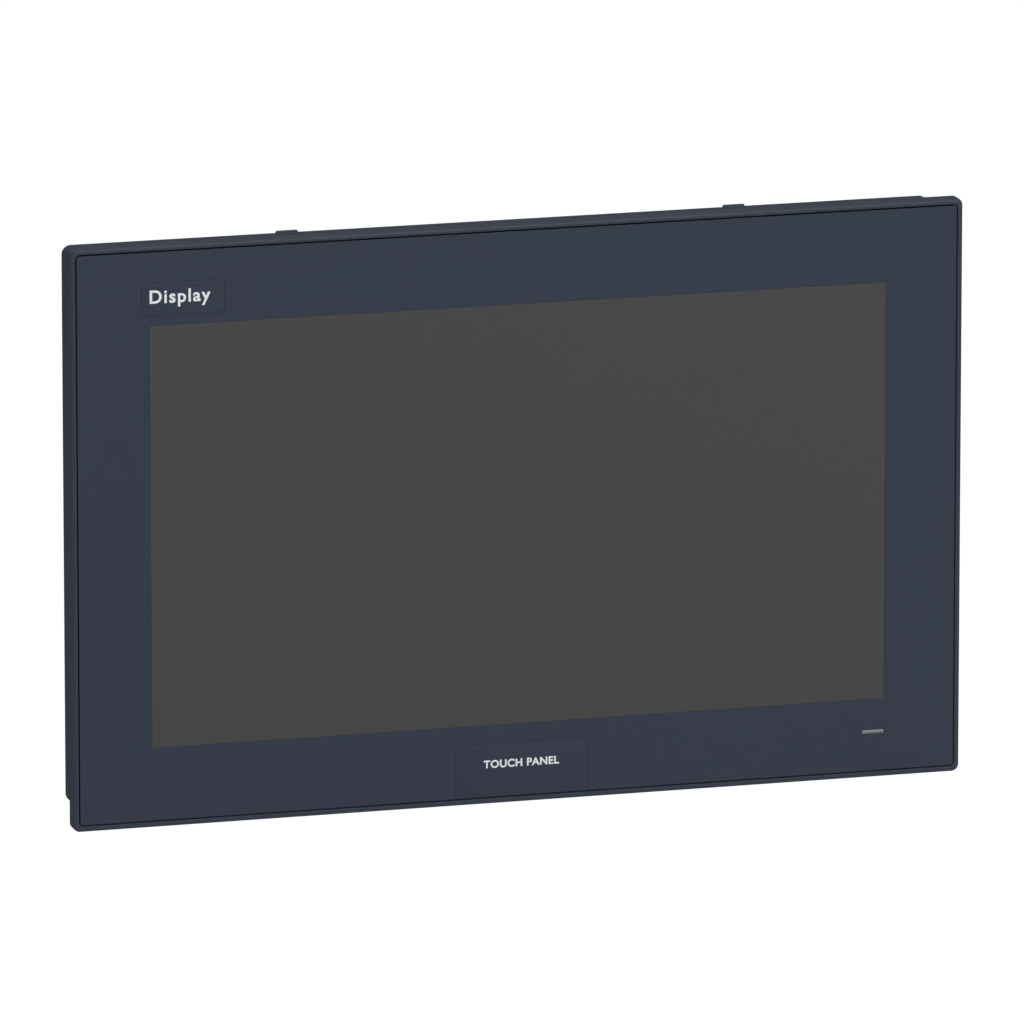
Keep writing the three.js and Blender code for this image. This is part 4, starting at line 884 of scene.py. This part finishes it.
def makeLatch():
    # quarter-turn latch: fluted knob with a coin slot, stem, and a tongue behind the cover's wall
    v, span = latchValues, spanOf("door_latch")
    centre = (span["mid"][0], span["high"][2] - v["knob"] - fine)
    back, seat, top = span["low"][1], span["high"][1] - v["knobHigh"], span["high"][1]
    profile = [(v["knob"] * v["knobFoot"], seat), (v["knob"], seat + soft), (v["knob"], top - v["rim"]),
               (v["knob"] - v["rimMid"], top - soft), (v["knob"] - v["rim"], top)]
    knob = lathe("latchKnob", profile, centre, count=120, flute=v["flute"], flutes=v["flutes"])
    slot = softSlab("coinSlot", rect(*v["slot"], *centre), top - v["slotDeep"], top + past, slim)
    stem = lathe("latchStem", [(v["stem"], back + slim), (v["stem"], seat + broad)], centre, count=32)
    long = span["size"][2] - v["knob"] + v["tongueWide"] / 2
    flat = rect(v["tongueWide"], long, v["tongueCorner"], centre[0], span["low"][2] + long / 2)
    tongue = softSlab("latchTongue", flat, back, back + v["tongueThick"], soft)
    addJoined([cutAway(knob, [slot]), stem, tongue], "quarter_turn", "steel", body="door_latch",
              slot="steel", replaces=["door_latch"])


hingeValues = {"pin": 1.0 * mm, "head": 1.9 * mm, "headHigh": 1.4 * mm, "tip": 0.6 * mm, "tipLong": 0.4 * mm,
               "crown": 0.6 * mm, "crownMid": 0.15 * mm, "crownWide": 0.75}


def makeHingePin():
    v, span = hingeValues, spanOf("door_hinge_pin")
    low, high = span["low"][2], span["high"][2]
    neck = high - v["headHigh"]
    profile = [(v["tip"], low), (v["pin"], low + v["tipLong"]), (v["pin"], neck - soft),
               (v["head"] - soft, neck - soft), (v["head"], neck), (v["head"], high - v["crown"]),
               (v["head"] * v["crownWide"], high - v["crownMid"]), (broad, high)]
    mesh = lathe("pinTurned", profile, span["mid"][:2], "xyz")
    addPiece(mesh, "pin_turned", materials["steel"], slot="steel", replaces=["door_hinge_pin"])


sinkValues = {"fins": 19, "fin": 1.8 * mm, "base": 2.2 * mm, "tip": 0.6 * mm, "root": 0.9 * mm,
              "edge": 0.25 * mm}


def makeHeatSink():
    # extruded section: a base with fins whose tips and roots are arcs, carried upwards
    v, span = sinkValues, spanOf("heat_sink")
    half, y0, y1 = span["size"][0] / 2, span["low"][1], span["high"][1]
    step = (2 * half - v["fin"]) / (v["fins"] - 1)
    corners = [(-half, y0, broad), (half, y0, broad)]
    for i in range(v["fins"] - 1, -1, -1):
        x = span["mid"][0] - half + i * step
        corners += [(x + v["fin"], y1, v["tip"]), (x, y1, v["tip"])]
        if i:
            corners += [(x, y0 + v["base"], v["root"]), (x - step + v["fin"], y0 + v["base"], v["root"])]
    mesh = softSlab("finnedSink", filletPath(corners), span["low"][2], span["high"][2], v["edge"], "xyz")
    addPiece(mesh, "finned_sink", materials["bareAluminium"], slot="aluminium", replaces=["heat_sink"])


for make in (makeFlangeScrews, makeGroundStud, makeLatch, makeHingePin, makeHeatSink):
    make()
print("stage: fasteners, latch and heat sink are made")


# Connectors
lanValues = {"skin": 0.3 * mm, "mouthWide": 11.8 * mm, "mouthHigh": 7.2 * mm, "mouthFoot": 2.2 * mm,
             "notchWide": 6.0 * mm, "notchFoot": 1.0 * mm, "mouthDeep": 14 * mm, "spread": 8.0 * mm,
             "contactPitch": 1.02 * mm, "contactWire": 0.17 * mm, "contacts": 8, "contactIn": 2.2 * mm,
             "contactLong": 8.5 * mm, "contactFall": 3.6 * mm, "lightAt": 4.6 * mm, "lightDown": 1.05 * mm,
             "light": (2.4 * mm, 1.2 * mm, 0.2 * mm), "lightProud": 0.12 * mm, "corner": 0.5 * mm,
             "coreIn": 0.35 * mm, "shieldEdge": 0.25 * mm, "lightIn": 0.4 * mm, "contactPoints": 9,
             "contactBend": 1.6}


def jackMouth(x, floor, grow=0.0):
    # a wide mouth with a narrower notch below it for the plug's latch
    v = lanValues
    wide, narrow = v["mouthWide"] / 2 + grow, v["notchWide"] / 2 + grow
    foot, low = floor + v["mouthFoot"] - grow, floor + v["notchFoot"] - grow
    top = floor + v["mouthFoot"] + v["mouthHigh"] + grow
    points = [(-narrow, low), (narrow, low), (narrow, foot), (wide, foot), (wide, top), (-wide, top),
              (-wide, foot), (-narrow, foot)]
    return np.array(points) + (x, 0)


def jackContacts(x, top, face):
    # sprung wires: each falls away from the mouth's roof as a power of the way in
    v = lanValues
    t = np.linspace(0, 1, v["contactPoints"])
    fall = top - broad - v["contactFall"] * t ** v["contactBend"]
    reach = face + v["contactIn"] + v["contactLong"] * t
    middle = (v["contacts"] - 1) / 2
    return [tube("jackContact", placed(x + (i - middle) * v["contactPitch"], fall, reach, "xyz"),
                 v["contactWire"]) for i in range(v["contacts"])]


def makeLanPorts():
    v, span = lanValues, spanOf("lan_ports")
    face, back, floor, mid = span["low"][2], span["high"][2], span["low"][1], span["mid"][0]
    width, height = span["size"][:2]
    outer = rect(width, height, v["corner"], *span["mid"][:2])
    inner = rect(width - 2 * v["skin"], height - 2 * v["skin"], broad, *span["mid"][:2])
    places = (mid - v["spread"], mid + v["spread"])
    mouths = [softSlab("jackKnife", jackMouth(x, floor), face - past, face + v["mouthDeep"], fine, "xyz")
              for x in places]
    core = cutAway(softSlab("jackCore", inner, face + v["coreIn"], back - soft, slim, "xyz"), mouths)
    shield = softSlab("jackShield", outer, face, back, v["shieldEdge"], "xyz")
    hollow = softSlab("shieldKnife", inner, face + v["skin"], back + 2 * past, hair, "xyz")
    faceHoles = [softSlab("faceKnife", jackMouth(x, floor, slim), face - past, face + past, fine, "xyz")
                 for x in places]
    shield = cutAway(shield, [hollow, *faceHoles])
    lightFace, lightBack = face - v["lightProud"], face + v["lightIn"]
    contacts, green, amber = [], [], []
    for x in places:
        contacts += jackContacts(x, floor + v["mouthFoot"] + v["mouthHigh"], face)
        for sign, row in ((-1, green), (1, amber)):
            light = rect(*v["light"], x + sign * v["lightAt"], span["high"][1] - v["lightDown"])
            row.append(softSlab("jackLight", light, lightFace, lightBack, slim, "xyz"))
    addPiece(shield, "lan_shield", materials["steel"], slot="steel", replaces=["lan_ports"])
    addPiece(core, "lan_core", materials["blackPlastic"], slot="plastic")
    addJoined(contacts, "lan_contacts", "goldPlate", slot="brass")
    addJoined(green, "link_lights", "greenLight", slot="lens")
    addJoined(amber, "traffic_lights", "amberLight", slot="lens")


usbValues = {"spread": 8.0 * mm, "mouth": (12.6 * mm, 5.0 * mm), "mouthCorner": 0.5 * mm,
             "canMore": 1.4 * mm, "canCorner": 0.8 * mm, "foot": 0.8 * mm, "deep": 10 * mm,
             "tongue": (11.2 * mm, 1.8 * mm),
             "tongueFoot": 3.6 * mm, "tongueIn": 0.6 * mm, "tonguePast": 0.4 * mm, "tongueEdge": 0.15 * mm,
             "contacts": 4, "contactPitch": 2.25 * mm, "contact": (1.0 * mm, 0.12 * mm, 0.04 * mm),
             "contactEnds": (1.5 * mm, 8 * mm), "contactEdge": 0.03 * mm}


def makeUsbPorts():
    v, span = usbValues, spanOf("usb_ports")
    face, back, floor, mid = span["low"][2], span["high"][2], span["low"][1], span["mid"][0]
    (wide, high), (long, thick), (start, end) = v["mouth"], v["tongue"], v["contactEnds"]
    cans, tongues, contacts = [], [], []
    for x in (mid - v["spread"], mid + v["spread"]):
        mouth = rect(wide, high, v["mouthCorner"], x, floor + v["foot"] + high / 2)
        body = rect(wide + v["canMore"], span["size"][1], v["canCorner"], x, span["mid"][1])
        knife = softSlab("usbKnife", mouth, face - past, face + v["deep"], fine, "xyz")
        cans.append(cutAway(softSlab("usbCan", body, face, back, soft, "xyz"), [knife]))
        bar = rect(long, thick, soft, x, floor + v["tongueFoot"] + thick / 2)
        tongues.append(softSlab("usbTongue", bar, face + v["tongueIn"], face + v["deep"] + v["tonguePast"],
                                v["tongueEdge"], "xyz"))
        for i in range(v["contacts"]):
            at = x + (i - (v["contacts"] - 1) / 2) * v["contactPitch"]
            strip = rect(*v["contact"], at, floor + v["tongueFoot"] - v["contact"][2], steps=2)
            contacts.append(softSlab("usbContact", strip, face + start, face + end, v["contactEdge"], "xyz"))
    addJoined(cans, "usb_cans", "steel", slot="steel", replaces=["usb_ports"])
    addJoined(tongues, "usb_tongues", "blackPlastic", slot="plastic")
    addJoined(contacts, "usb_contacts", "goldPlate", slot="brass")


def shellOutline(width, height, slant, corner, u, v):
    # a D: wider along its upper side, all four corners round
    w, h = width / 2, height / 2
    corners = [(-w + slant, -h, corner), (w - slant, -h, corner), (w, h, corner), (-w, h, corner)]
    return filletPath(corners, steps=6) + (u, v)


standoffValues = {"edge": 0.3 * mm, "foot": 2 * mm, "bore": (1.1 * mm, 1.2 * mm), "boreDeep": 2.5 * mm}


def standoff(u, v, face, across, proud):
    # hexagonal jack screw with a plain bore
    s = standoffValues
    top = face - proud
    steps = [(-s["edge"], face + s["foot"]), (0, face + s["foot"]), (0, top + s["edge"]), (-s["edge"], top),
             (-s["bore"][0], top), (-s["bore"][1], top + s["boreDeep"])]
    return carry("jackScrew", hexagon(across, u, v), steps, "xyz")


shellValues = {"lip": 0.15 * mm, "bodyIn": (1 * mm, 0.4 * mm), "bodyCorner": 0.6 * mm}


def shellPort(values, span, outline, root):
    # flange, sheet shell bent round a D, block behind, and a jack screw at each end
    v, s = values, shellValues
    face, back, u, w = span["low"][2], span["high"][2], span["mid"][0], span["mid"][1]
    plate = face + v["plateBack"]
    width, height = span["size"][:2]
    sheet = rect(width, height, v["corner"], u, w)
    flange = softSlab("portFlange", sheet, plate, plate + v["plate"], soft, "xyz")
    lip = [(0, face + soft), (-s["lip"], face), (-v["wall"] + slim, face), (-v["wall"], face + s["lip"]),
           (-v["wall"], plate + v["inside"])]
    shell = carry("portShell", outline, root + lip, "xyz")
    block = rect(width - s["bodyIn"][0], height - s["bodyIn"][1], s["bodyCorner"], u, w)
    body = softSlab("portBody", block, plate + v["plate"], back, soft, "xyz")
    jacks = [standoff(u + side * v["jackAt"], w, plate, v["jack"], v["jackProud"]) for side in (-1, 1)]
    return flange, shell, body, jacks


def shrunk(outline, amount):
    return outline + outlineNormals(outline) * -amount


serialValues = {"shell": (18.8 * mm, 10.0 * mm, 1.3 * mm, 2.2 * mm), "wall": 0.5 * mm, "plate": 0.8 * mm,
                "plateBack": 2.0 * mm, "corner": 1.2 * mm, "inside": 5 * mm, "jackAt": 12.5 * mm,
                "jack": 5.0 * mm, "jackProud": 3.2 * mm, "rootOut": (0.9 * mm, 0.3 * mm),
                "rootHigh": (0.05 * mm, 0.5 * mm), "coreGap": 0.05 * mm, "coreIn": 1.2 * mm,
                "pitch": 2.77 * mm, "row": 1.42 * mm, "pin": 0.5 * mm, "pinTip": 0.2 * mm,
                "pinEnds": (1.0 * mm, 1.5 * mm, 4 * mm)}


def makeSerialPort():
    v, span = serialValues, spanOf("serial_port")
    face, back, u, w = span["low"][2], span["high"][2], span["mid"][0], span["mid"][1]
    plate = face + v["plateBack"]
    outline = shellOutline(*v["shell"], u, w)
    (wide, narrow), (low, high) = v["rootOut"], v["rootHigh"]
    root = [(wide, plate), (narrow, plate - low), (0, plate - high)]
    flange, shell, body, jacks = shellPort(v, span, outline, root)
    core = softSlab("serialCore", shrunk(outline, v["wall"] + v["coreGap"]), plate + v["coreIn"], back, slim,
                    "xyz")
    tip, neck, foot = v["pinEnds"]
    profile = [(v["pinTip"], face + tip), (v["pin"], face + neck), (v["pin"], plate + foot)]
    # five pins above, four between them below
    places = [(i - 2, 1) for i in range(5)] + [(i - 1.5, -1) for i in range(4)]
    pins = [lathe("serialPin", profile, (u + i * v["pitch"], w + side * v["row"]), "xyz", count=16)
            for i, side in places]
    addJoined([flange, shell], "serial_shell", "steel", slot="steel", replaces=["serial_port"])
    addJoined([core, body], "serial_block", "blackPlastic", slot="plastic")
    addJoined(pins, "serial_pins", "goldPlate", slot="brass")
    addJoined(jacks, "serial_jacks", "steel", slot="steel")


videoValues = {"shell": (25.2 * mm, 8.2 * mm, 0.6 * mm, 1.6 * mm), "wall": 0.45 * mm, "plate": 0.8 * mm,
               "plateBack": 1.8 * mm, "corner": 1.0 * mm, "inside": 4 * mm, "jackAt": 16.0 * mm,
               "jack": 4.6 * mm, "jackProud": 3.0 * mm, "rootOut": 0.3 * mm, "rootHigh": 0.4 * mm,
               "coreGap": 0.9 * mm, "coreIn": 0.5 * mm, "holePitch": 1.9 * mm, "hole": 0.85 * mm, "rows": 3,
               "columns": 8, "holesAt": 3.2 * mm, "holeCorner": 0.15 * mm, "holeDeep": 3 * mm,
               "holeEdge": 0.03 * mm, "blade": (4.2 * mm, 0.7 * mm, 0.2 * mm), "bladeAt": 8.0 * mm}


def makeVideoPort():
    v, span = videoValues, spanOf("video_port")
    face, u, w = span["low"][2], span["mid"][0], span["mid"][1]
    plate = face + v["plateBack"]
    outline = shellOutline(*v["shell"], u, w)
    root = [(v["rootOut"], plate), (0, plate - v["rootHigh"])]
    flange, shell, body, jacks = shellPort(v, span, outline, root)
    core = softSlab("videoCore", shrunk(outline, v["wall"] + v["coreGap"]), face + v["coreIn"],
                    plate + v["inside"], soft, "xyz")
    squares = [rect(v["hole"], v["hole"], v["holeCorner"],
                    u - v["holesAt"] + (column - (v["columns"] - 1) / 2) * v["holePitch"],
                    w + (row - (v["rows"] - 1) / 2) * v["holePitch"], steps=2)
               for row in range(v["rows"]) for column in range(v["columns"])]
    squares.append(rect(*v["blade"], u + v["bladeAt"], w, steps=2))
    knives = [softSlab("videoHole", square, face, face + v["holeDeep"], v["holeEdge"], "xyz")
              for square in squares]
    addJoined([flange, shell, *jacks], "video_shell", "steel", slot="steel")
    addJoined([cutAway(core, knives), body], "video_block", "blackPlastic", slot="plastic",
              replaces=["video_port"])


headerValues = {"wall": 1.0 * mm, "deep": 8 * mm, "corner": 0.6 * mm, "pin": 1.1 * mm,
                "pinCorner": 0.15 * mm, "pinTaper": 0.35 * mm, "pinEnds": (1.0 * mm, 1.6 * mm),
                "pitch": 5.08 * mm,
                "key": (1.6 * mm, 0.8 * mm, 0.2 * mm), "keyIn": 0.6 * mm}


def makePowerHeader():
    v, span = headerValues, spanOf("power_header")
    face, back, u, w = span["low"][2], span["high"][2], span["mid"][0], span["mid"][1]
    bottom = face + v["deep"]
    steps = [(-broad, back), (0, back - broad), (0, face + broad), (-broad, face), (-v["wall"] + slim, face),
             (-v["wall"], face + slim), (-v["wall"], bottom)]
    cup = carry("headerCup", rect(span["size"][0], span["size"][1], v["corner"], u, w), steps, "xyz")
    keys = [rect(*v["key"], u + side * v["pitch"] / 2, span["low"][1] + v["wall"] + broad, steps=2)
            for side in (-1, 1)]
    ribs = [softSlab("headerRib", key, face + v["keyIn"], bottom, slim, "xyz") for key in keys]
    tip, neck = v["pinEnds"]
    taper = [(-v["pinTaper"], face + tip), (0, face + neck), (0, bottom + broad)]
    pins = [carry("headerPin", rect(v["pin"], v["pin"], v["pinCorner"], u + at, w, steps=2), taper, "xyz")
            for at in (-v["pitch"], 0, v["pitch"])]
    addJoined([cup, *ribs], "header_block", "greenPlastic", slot="terminal", replaces=["power_header"])
    addJoined(pins, "header_pins", "steel", slot="steel")


buttonValues = {"cap": 1.9 * mm, "dome": ((0.62, 0.04 * mm), (0.92, 0.25 * mm), (1.0, 0.6 * mm)),
                "flangeHigh": 0.7 * mm, "stem": 1.2 * mm, "stemLong": 4.4 * mm}


def makeButtonCap(name):
    # stepped cap with a domed face: radius against height, turned
    v, span = buttonValues, spanOf(name)
    low, high, flange = span["low"][2], span["high"][2], span["size"][0] / 2
    collar = high - v["stemLong"]
    under = collar - v["flangeHigh"]
    dome = [(v["cap"] * share, low + rise) for share, rise in v["dome"]]
    profile = [(broad, low), *dome, (v["cap"], under), (flange - slim, under), (flange, under + slim),
               (flange, collar - slim), (flange - slim, collar), (v["stem"], collar),
               (v["stem"], high - soft), (v["stem"] - soft, high)]
    mesh = lathe(name + "Cap", profile, span["mid"][:2], "xyz")
    addPiece(mesh, name + "_cap", materials["greyButton"], body=name, slot="button", replaces=[name])


for make in (makeLanPorts, makeUsbPorts, makeSerialPort, makeVideoPort, makePowerHeader):
    make()
for name in ("power_button", "reset_button"):
    makeButtonCap(name)
print("stage: connectors and buttons are made")


# Behind the access door
cellValues = {"centre": 0.5 * mm, "edge": 0.5 * mm, "edgeSteps": 6, "foot": (1 * mm, 0.7 * mm),
              "rim": 8.6 * mm, "rimDeep": 0.18 * mm, "arm": (5.2 * mm, 1.1 * mm), "armHigh": 0.12 * mm}


def makeCoinCell():
    # pressed can: a rounded outer edge, a shallow ring, and a raised plus sign
    v, span = cellValues, spanOf("coin_cell")
    centre, low, high, r = span["mid"][[0, 2]], span["low"][1], span["high"][1], span["size"][0] / 2
    face, edge = high - v["armHigh"], v["edge"]
    sunk = face - v["rimDeep"]
    turn = np.linspace(0, math.pi / 2, v["edgeSteps"])
    shoulder = [(r - edge + edge * math.cos(t), face - edge + edge * math.sin(t)) for t in turn]
    profile = [(v["centre"], low), (r - v["foot"][0], low), (r - v["foot"][1], low + broad), (r, low + edge),
               *shoulder, (v["rim"], face), (v["rim"] - soft, sunk), (v["centre"], sunk)]
    can = lathe("cellCan", profile, centre, count=96)
    arms = [softSlab("cellPlus", rect(*size, broad, *centre), sunk - slim, high, fine)
            for size in (v["arm"], v["arm"][::-1])]
    addJoined([can, *arms], "cell_pressed", "steel", slot="steel", replaces=["coin_cell"])


# bends of the clip: distance from the can's edge, and height over its foot or over its top
clipValues = {"wide": 4.0 * mm, "thick": 0.3 * mm, "points": 31, "foot": (-1.9 * mm, -0.6 * mm),
              "arch": ((-1.4 * mm, -soft), (-0.4 * mm, 0.55 * mm), (1.6 * mm, 0.35 * mm)),
              "press": 3.6 * mm, "gap": 0.12 * mm, "tip": (4.6 * mm, 0.7 * mm)}


def makeCellClip():
    # a flat strap bent over the can's edge
    v, span = clipValues, spanOf("coin_cell")
    centre, low, high, r = span["mid"][[0, 2]], span["low"][1], span["high"][1], span["size"][0] / 2
    foot, bends = v["foot"], [*v["arch"], (v["press"], v["gap"] + v["thick"] / 2), v["tip"]]
    reach = np.array([(foot[0] - r, low + foot[1]), *((near - r, high + over) for near, over in bends)])
    t = np.linspace(0, len(reach) - 1, v["points"])
    u, h = (np.interp(t, np.arange(len(reach)), reach[:, k]) for k in (0, 1))
    side = np.array([(-1, -1), (1, -1), (1, 1), (-1, 1)]) / 2
    ahead = np.stack([np.gradient(u), np.gradient(h)], -1)
    ahead /= np.linalg.norm(ahead, axis=1)[:, None]
    normal = np.stack([-ahead[:, 1], ahead[:, 0]], -1)
    offset = side[None, :, 1, None] * v["thick"] * normal[:, None]
    points = placed(centre[0] + u[:, None] + offset[..., 0], h[:, None] + offset[..., 1],
                    centre[1] + side[None, :, 0] * v["wide"], "xyz")
    strap = gridMesh("cellClip", points)
    addPiece(strap, "cell_clip", materials["springWire"], slot="steel")


cardValues = {"corner": 1.0 * mm, "edge": 0.4 * mm, "sticker": (34 * mm, 20 * mm), "stickerDown": 9.5 * mm,
              "stickerThick": 0.08 * mm, "groove": (16 * mm, 0.6 * mm, 0.25 * mm), "grooves": 5,
              "groovePitch": 1.3 * mm, "grooveDown": 1.6 * mm, "grooveDeep": 0.35 * mm}


def makeCard():
    # card body with rounded edges, a row of grip grooves and a plain sticker
    v, span = cardValues, spanOf("storage_card")
    x, top, face = span["mid"][0], span["high"][2], span["high"][1] - v["stickerThick"]
    outline = rect(span["size"][0], span["size"][2], v["corner"], *span["mid"][[0, 2]])
    body = softSlab("cardBody", outline, span["low"][1], face, v["edge"])
    lines = [rect(*v["groove"], x, top - v["grooveDown"] - i * v["groovePitch"], steps=3)
             for i in range(v["grooves"])]
    knives = [softSlab("cardGroove", line, face - v["grooveDeep"], face + past, fine) for line in lines]
    addPiece(cutAway(body, knives), "card_body", materials["chipBlack"], body="storage_card", slot="plastic",
             replaces=["storage_card"])
    sticker = rect(*v["sticker"], v["corner"], x, top - v["stickerDown"] - v["sticker"][1] / 2)
    mesh = softSlab("cardSticker", sticker, face - hair, span["high"][1], hair)
    addPiece(mesh, "card_sticker", materials["cardSticker"], body="storage_card", slot="label")


partValues = {"size": (1.6 * mm, 0.8 * mm, 0.6 * mm), "cap": 0.3 * mm, "capMore": (0.06 * mm, 0.03 * mm),
              "pitch": (3.0 * mm, 2.4 * mm),
              "fields": (((104, 124), (-33, -13)), ((104, 122), (24, 34)), ((128, 168), (29, 35)))}


def makeSmallParts():
    # rows of chip resistors by the bay, with gaps: each is a ceramic body between two tinned ends
    v = partValues
    y = spanOf("processor")["low"][1] - slim
    (long, wide, high), (wider, higher), (stepX, stepZ) = v["size"], v["capMore"], v["pitch"]
    bodies, ends = [], []
    for (x0, x1), (z0, z1) in v["fields"]:
        for i, x in enumerate(np.arange(x0 * mm, x1 * mm, stepX)):
            for k, z in enumerate(np.arange(z0 * mm, z1 * mm, stepZ)):
                if (i * 7 + k * 5) % 6 == 0:
                    continue
                body = rect(long - 2 * v["cap"], wide, fine, x, z, steps=1)
                bodies.append(softSlab("partBody", body, y, y + high, fine))
                for side in (-1, 1):
                    at = x + side * (long - v["cap"]) / 2
                    cap = rect(v["cap"], wide + wider, fine, at, z, steps=1)
                    ends.append(softSlab("partEnd", cap, y, y + high + higher, fine))
    addJoined(bodies, "chip_parts", "chipBlack", slot="chip")
    addJoined(ends, "chip_ends", "steel", slot="steel")


for make in (makeCoinCell, makeCellClip, makeCard, makeSmallParts):
    make()
print("stage: the bay behind the door is filled")


# Rating plate
plateValues = {"ink": (0.055, 0.060, 0.070), "stock": (0.62, 0.63, 0.62), "frame": 1.2 * mm,
               "line": 0.35 * mm, "margin": 4 * mm, "header": 5 * mm, "headerGap": 2.5 * mm, "rows": 7,
               "rowsLess": 17 * mm,
               "barShare": 0.42, "barFrom": 9 * mm, "barVary": 14 * mm, "blockIn": 4.5 * mm,
               "blockTo": 19 * mm, "blockDown": 13.5 * mm, "square": 0.9 * mm, "squareShare": 0.48,
               "corner": 2.0 * mm,
               "grain": 3000.0, "bump": 0.1, "depth": 0.00001, "rough": 0.42, "roughVary": 0.08,
               "specular": 0.4}


def ratingPrint():
    # a generic plate: a ruled frame, a solid header, rows of plain bars and a block of small squares
    v, span, paint = plateValues, spanOf("rating_label"), Paint("ratingPrint")
    halfX, halfZ = float(span["size"][0]) / 2, float(span["size"][2]) / 2
    x = paint.axis("X") - float(span["mid"][0])
    z = paint.axis("Z") - float(span["mid"][2])
    margin, top = v["margin"], halfZ - v["margin"]

    def between(value, low, high):
        return (value > low) * (value < high)

    def scatter(value, gain):
        # the fraction of a large sine jumps about like a random number
        return paint.maths("FRACT", paint.maths("SINE", value) * gain)

    away = paint.maths("MAXIMUM", paint.maths("ABSOLUTE", x) + (halfZ - halfX), paint.maths("ABSOLUTE", z))
    frameMask = between(away, halfZ - v["frame"] - v["line"], halfZ - v["frame"])
    header = between(z, top - v["header"], top) * between(x, -halfX + margin, halfX - margin)
    pitch = (2 * halfZ - v["rowsLess"]) / v["rows"]
    row = paint.maths("FRACT", (z + halfZ - margin) / pitch)
    cell = paint.maths("FLOOR", (z + halfZ - margin) / pitch)
    length = scatter(cell * 12.9898, 43.7585)
    body = between(z, -halfZ + margin, top - v["header"] - v["headerGap"])
    # on the plate's own side, seen from behind, left is +X
    bars = body * (row < v["barShare"]) * (x < halfX - margin) * (x > v["barFrom"] - length * v["barVary"])
    squareX = paint.maths("FLOOR", x / v["square"])
    squareZ = paint.maths("FLOOR", z / v["square"])
    random = scatter(squareX * 78.233 + squareZ * 37.719, 4375.85)
    block = between(x, -halfX + v["blockIn"], -halfX + v["blockTo"])
    block = block * between(z, -halfZ + v["blockIn"], halfZ - v["blockDown"])
    squares = block * (random < v["squareShare"])
    ink = paint.maths("MINIMUM", frameMask + header + bars + squares, 1.0)
    grain = paint.noise(v["grain"])
    color = paint.mix(ink, v["stock"], v["ink"])
    rough = v["rough"] + v["roughVary"] * (grain - 0.5)
    normal = paint.bump(grain, v["bump"], v["depth"])
    return paint.set(color=color, roughness=rough, normal=normal, specular=v["specular"])


def makeRatingPlate():
    v, span = plateValues, spanOf("rating_label")
    outline = rect(span["size"][0], span["size"][2], v["corner"], *span["mid"][[0, 2]], steps=8)
    mesh = softSlab("ratingPlate", outline, span["low"][1], span["high"][1], fine)
    addPiece(mesh, "rating_plate", ratingPrint(), slot="paper", replaces=["rating_label"])


makeRatingPlate()
print("stage: rating plate is printed")


# Looks of the frame's own parts, by their slot or, where one differs, by its own name
cadLooks = {
    "slate": "slatePaint", "slate_film": "printedFilm", "window": "windowFilm", "label": "inlay",
    "lens": "frostedAcrylic", "glass": "darkGlass", "foam": "rubberFoam", "steel": "steel",
    "zinc": "zincSheet", "aluminium": "bareAluminium", "acrylic": "frostedAcrylic", "board": "boardMask",
    "chip": "chipBlack", "flex": "amberFlex", "plastic": "blackPlastic", "terminal": "greenPlastic",
    "button": "greyButton", "spring": "springWire", "brass": "brass", "paper": "cardSticker",
}
nodeLooks = {"catch_left": "litCatchSlate", "catch_right": "litCatchSlate"}


def dressFrame():
    slots = {part["node"]: part["material_slot"] for part in frame["record"]["subparts"]}
    for node, piece in frame["nodes"].items():
        look = nodeLooks.get(node, cadLooks[slots[node]])
        piece.data.materials.clear()
        piece.data.materials.append(materials[look])


dressFrame()
print("stage: the frame's own parts are finished")
